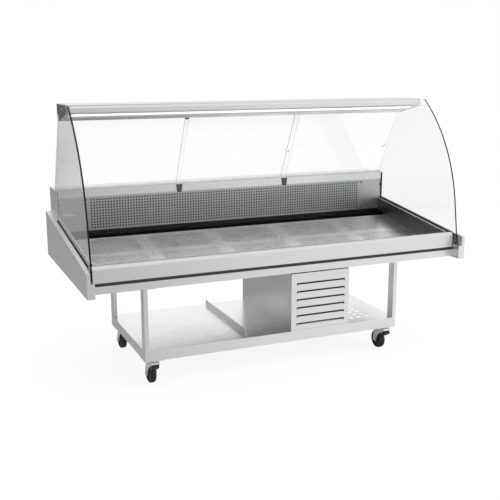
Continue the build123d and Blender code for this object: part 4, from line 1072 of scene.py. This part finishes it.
class Fittings(Operator):
    """Add the screw heads, the bare plate on the grille's left end and the left door's corner cap"""

    bl_idname = "fishcase.fittings"
    bl_label = "Fittings"

    def execute(self, context):
        finishes = context.scene.case_finishes
        patterns = context.scene.case_patterns
        dark = moulded("screw_enamel", finishes.plastic, roughness=0.5, pebble=900.0, sheen=0.3)
        bright = brushed_metal("plate_aluminium", shade(finishes.aluminium, 0.8), roughness=0.4, along="x")
        self.grille_screws(patterns.screw, dark)
        self.pane_fixings(1.4 * patterns.screw, bright)
        self.bare_plate(patterns.plate_width, patterns.plate_height, bright)
        self.corner_cap(moulded("corner_rubber", finishes.clip, roughness=0.55, pebble=700.0))
        return {"FINISHED"}

    def grille_screws(self, diameter, material):
        """Screws in the corners of the grille and at the outer edge of its end panels."""
        low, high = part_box("evaporator_grille")
        corner, panel_edge = high.x - 0.012, high.x + 0.119
        spots = [(corner, low.z + 0.015), (corner, high.z - 0.018), (panel_edge, high.z - 0.037)]
        places = [(side * x, low.y, z) for x, z in spots for side in (-1, 1)]
        points, faces = heads(screw_head(diameter), 12, FRONT, places)
        put_piece("grille_screws", points, faces, "case", material)

    def pane_fixings(self, diameter, material):
        """The fixing that holds each side pane to the canopy's end cap."""
        depth, drop = 0.017, 0.0215
        for name, side in (("left", -1.0), ("right", 1.0)):
            low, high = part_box(f"{name}_side_glass")
            place = (low.x if side < 0 else high.x, depth, high.z - drop)
            points, faces = heads(screw_head(diameter), 16, (side, 0.0, 0.0), [place])
            put_piece(f"pane_fixing_{name}", points, faces, "case", material)

    def bare_plate(self, width, height, material):
        """A plain plate with a raised border on the grille's left end panel: one outline at five insets."""
        low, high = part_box("grille_end_panels")
        inward, drop, corner = 0.0545, 0.0842, 0.004
        centre = np.array((low.x + inward, low.y, high.z - drop))
        insets = (0.0, 0.0, 0.0004, 0.0022, 0.0028)
        rises = (0.0, 0.0006, 0.001, 0.001, 0.0006)
        outlines = [rounded_outline(width - 2 * i, height - 2 * i, corner - i) for i in insets]
        block, faces = stacked(outlines, rises, FRONT, UP)
        put_piece("bare_plate", centre + block, faces, "case", material)

    def corner_cap(self, material):
        """A soft cap over the left door's inner edge under the canopy: a rounded block through the pane."""
        points = node_points("door_left")
        normal = np.array(broad_face("door_left"))
        across = -np.sign(normal[1]) * normal
        up = np.cross(across, RIGHT)
        width, height, corner, lap, gap = 0.022, 0.006, 0.002, 0.001, 0.003
        back, front = (points @ across).min() - lap, (points @ across).max() + lap
        rise = (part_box("canopy_shell")[0].z - gap - front * across[2]) / up[2]
        centre = (rise - height / 2) * up
        centre[0] += points[:, 0].max() + lap - width / 2
        outline = rounded_outline(width, height, corner)
        block, faces = stacked([outline, outline], (back, front), across, up)
        body, slot = "sliding_door_left", "black_rubber"
        put_piece("door_corner_cap", centre + block, faces, body, material)


# Stage


class Stage(Operator):
    """Set the floor, the studio, the lights and the camera"""

    bl_idname = "fishcase.stage"
    bl_label = "Stage"

    def execute(self, context):
        stage = context.scene.case_stage
        context.scene.view_settings.view_transform = "Standard"
        self.floor(reach=14.0)
        self.world(context.scene, stage.ambient)
        self.area("key_light", place=(3.2, -3.4, 3.0), target=(0.2, 0.0, 0.7), size=2.4, watts=stage.key)
        self.area("top_light", place=(0.0, -0.3, 4.2), target=(0.0, 0.0, 0.6), size=3.0, watts=stage.top)
        self.camera(context.scene, stage)
        return {"FINISHED"}

    def by_ray(self, tree, light, seen, direction):
        """One shader for light, a white one where it is seen, the studio's levels where metal mirrors it."""
        path = node(tree, "LightPath").outputs
        is_seen = calculated(tree, "MAXIMUM", path["Is Camera Ray"], path["Is Transmission Ray"])
        is_mirrored = calculated(tree, "MINIMUM", path["Glossy Depth"], 1.0)
        level = shared(tree, "studio_surround", Direction=direction)["Level"]
        studio = node(tree, "Emission", Color=level, Strength=1.0).outputs["Emission"]
        return mixed_shaders(tree, is_mirrored, mixed_shaders(tree, is_seen, light, seen), studio)

    def world(self, scene, level):
        """A plain white surround, dimmer where it lights the object than where it is seen."""
        world = bpy.data.worlds.new("studio")
        world.use_nodes = True
        tree = world.node_tree
        tree.nodes.clear()
        seen = node(tree, "Background", Color=grey(1.0), Strength=1.0).outputs["Background"]
        light = node(tree, "Background", Color=grey(1.0), Strength=level).outputs["Background"]
        node(tree, "OutputWorld", self.by_ray(tree, light, seen, coordinates(tree, "Generated")))
        scene.world = world

    def floor(self, reach):
        """A pale floor that is seen as white, with a soft trace of the shadow."""
        material, tree, shader = new_material("floor_white", Base_Color=grey(0.85), Roughness=0.9)
        glow = node(tree, "Emission", Color=grey(1.0), Strength=0.87).outputs["Emission"]
        weak = node(tree, "BsdfDiffuse", Color=grey(0.17)).outputs["BSDF"]
        seen = node(tree, "AddShader", glow, weak).outputs["Shader"]
        show(tree, self.by_ray(tree, shader.outputs["BSDF"], seen, self.floor_direction(tree)))
        corners = [(-reach, -reach, 0.0), (reach, -reach, 0.0), (reach, reach, 0.0), (-reach, reach, 0.0)]
        mesh = bpy.data.meshes.new("floor")
        mesh.from_pydata(corners, [], [(0, 1, 2, 3)])
        mesh.materials.append(material)
        piece = bpy.data.objects.new("floor", mesh)
        bpy.context.scene.collection.objects.link(piece)

    def floor_direction(self, tree):
        """The floor's studio directions: from behind the case for the floor in front, and the reverse."""
        place = coordinates(tree, "Object")
        case_front = -0.45
        in_front = calculated(tree, "LESS_THAN", part_of(tree, place, "Y"), case_front)
        from_front = vectors(tree, "SUBTRACT", place, (0.9, -0.9, 0.0))["Vector"]
        from_behind = vectors(tree, "SUBTRACT", place, (-1.7, 3.05, 0.0))["Vector"]
        return mixed(tree, "VECTOR", in_front, from_front, from_behind)

    def area(self, name, place, target, size, watts):
        """A square soft light aimed at a point, which bare metal doesn't mirror."""
        light = bpy.data.lights.new(name, "AREA")
        light.shape = "SQUARE"
        light.size = size
        light.energy = watts
        lamp = bpy.data.objects.new(name, light)
        lamp.location = place
        lamp.visible_glossy = False
        lamp.visible_transmission = False
        ahead = np.array(target) - np.array(place)
        tilt = math.acos(-ahead[2] / np.linalg.norm(ahead))
        lamp.rotation_euler = (tilt, 0.0, math.atan2(ahead[1], ahead[0]) - math.pi / 2)
        bpy.context.scene.collection.objects.link(lamp)

    def camera(self, scene, stage):
        """The camera at the photograph's viewing angle."""
        lens = bpy.data.cameras.new("camera")
        lens.lens = stage.lens
        lens.sensor_width = 36.0
        lens.clip_end = 60.0
        camera = bpy.data.objects.new("camera", lens)
        camera.location = stage.camera
        camera.rotation_euler = (math.pi / 2 - stage.pitch, 0.0, -stage.yaw)
        scene.collection.objects.link(camera)
        scene.camera = camera


# Add-on


SETTINGS = {"case_finishes": CaseFinishes, "case_patterns": CasePatterns, "case_stage": CaseStage}
OPERATORS = (
    SheetMetal, CheekReturns, RimBeads, DeckPanels, GrillePanel, LouvreLips, Panes, GlassClamp,
    SealsAndCanopy, Castors, Machinery, Fittings, Stage,
)


class CasePanel(Panel):
    """Settings of the case and the steps that dress it"""

    bl_idname = "VIEW3D_PT_fish_case"
    bl_label = "Fish display case"
    bl_space_type = "VIEW_3D"
    bl_region_type = "UI"
    bl_category = "Fish case"

    def draw(self, context):
        for group in SETTINGS:
            settings = getattr(context.scene, group)
            box = self.layout.box()
            for name in settings.__annotations__:
                box.prop(settings, name)
        for operator in OPERATORS:
            self.layout.operator(operator.bl_idname)


def register():
    """Add the settings, the operators and the panel to Blender."""
    for made in (*SETTINGS.values(), *OPERATORS, CasePanel):
        bpy.utils.register_class(made)
    for name, group in SETTINGS.items():
        setattr(bpy.types.Scene, name, PointerProperty(type=group))


def unregister():
    """Take them out again."""
    for name in SETTINGS:
        delattr(bpy.types.Scene, name)
    for made in reversed((*SETTINGS.values(), *OPERATORS, CasePanel)):
        bpy.utils.unregister_class(made)


def main():
    register()
    bpy.ops.fishcase.sheet_metal()
    bpy.ops.fishcase.cheek_returns()
    bpy.ops.fishcase.rim_beads()
    bpy.ops.fishcase.deck_panels()
    bpy.ops.fishcase.grille_panel()
    bpy.ops.fishcase.louvre_lips()
    bpy.ops.fishcase.panes()
    bpy.ops.fishcase.glass_clamp()
    bpy.ops.fishcase.seals_and_canopy()
    bpy.ops.fishcase.castors()
    bpy.ops.fishcase.machinery()
    bpy.ops.fishcase.fittings()
    bpy.ops.fishcase.stage()


if __name__ == "__main__":
    main()
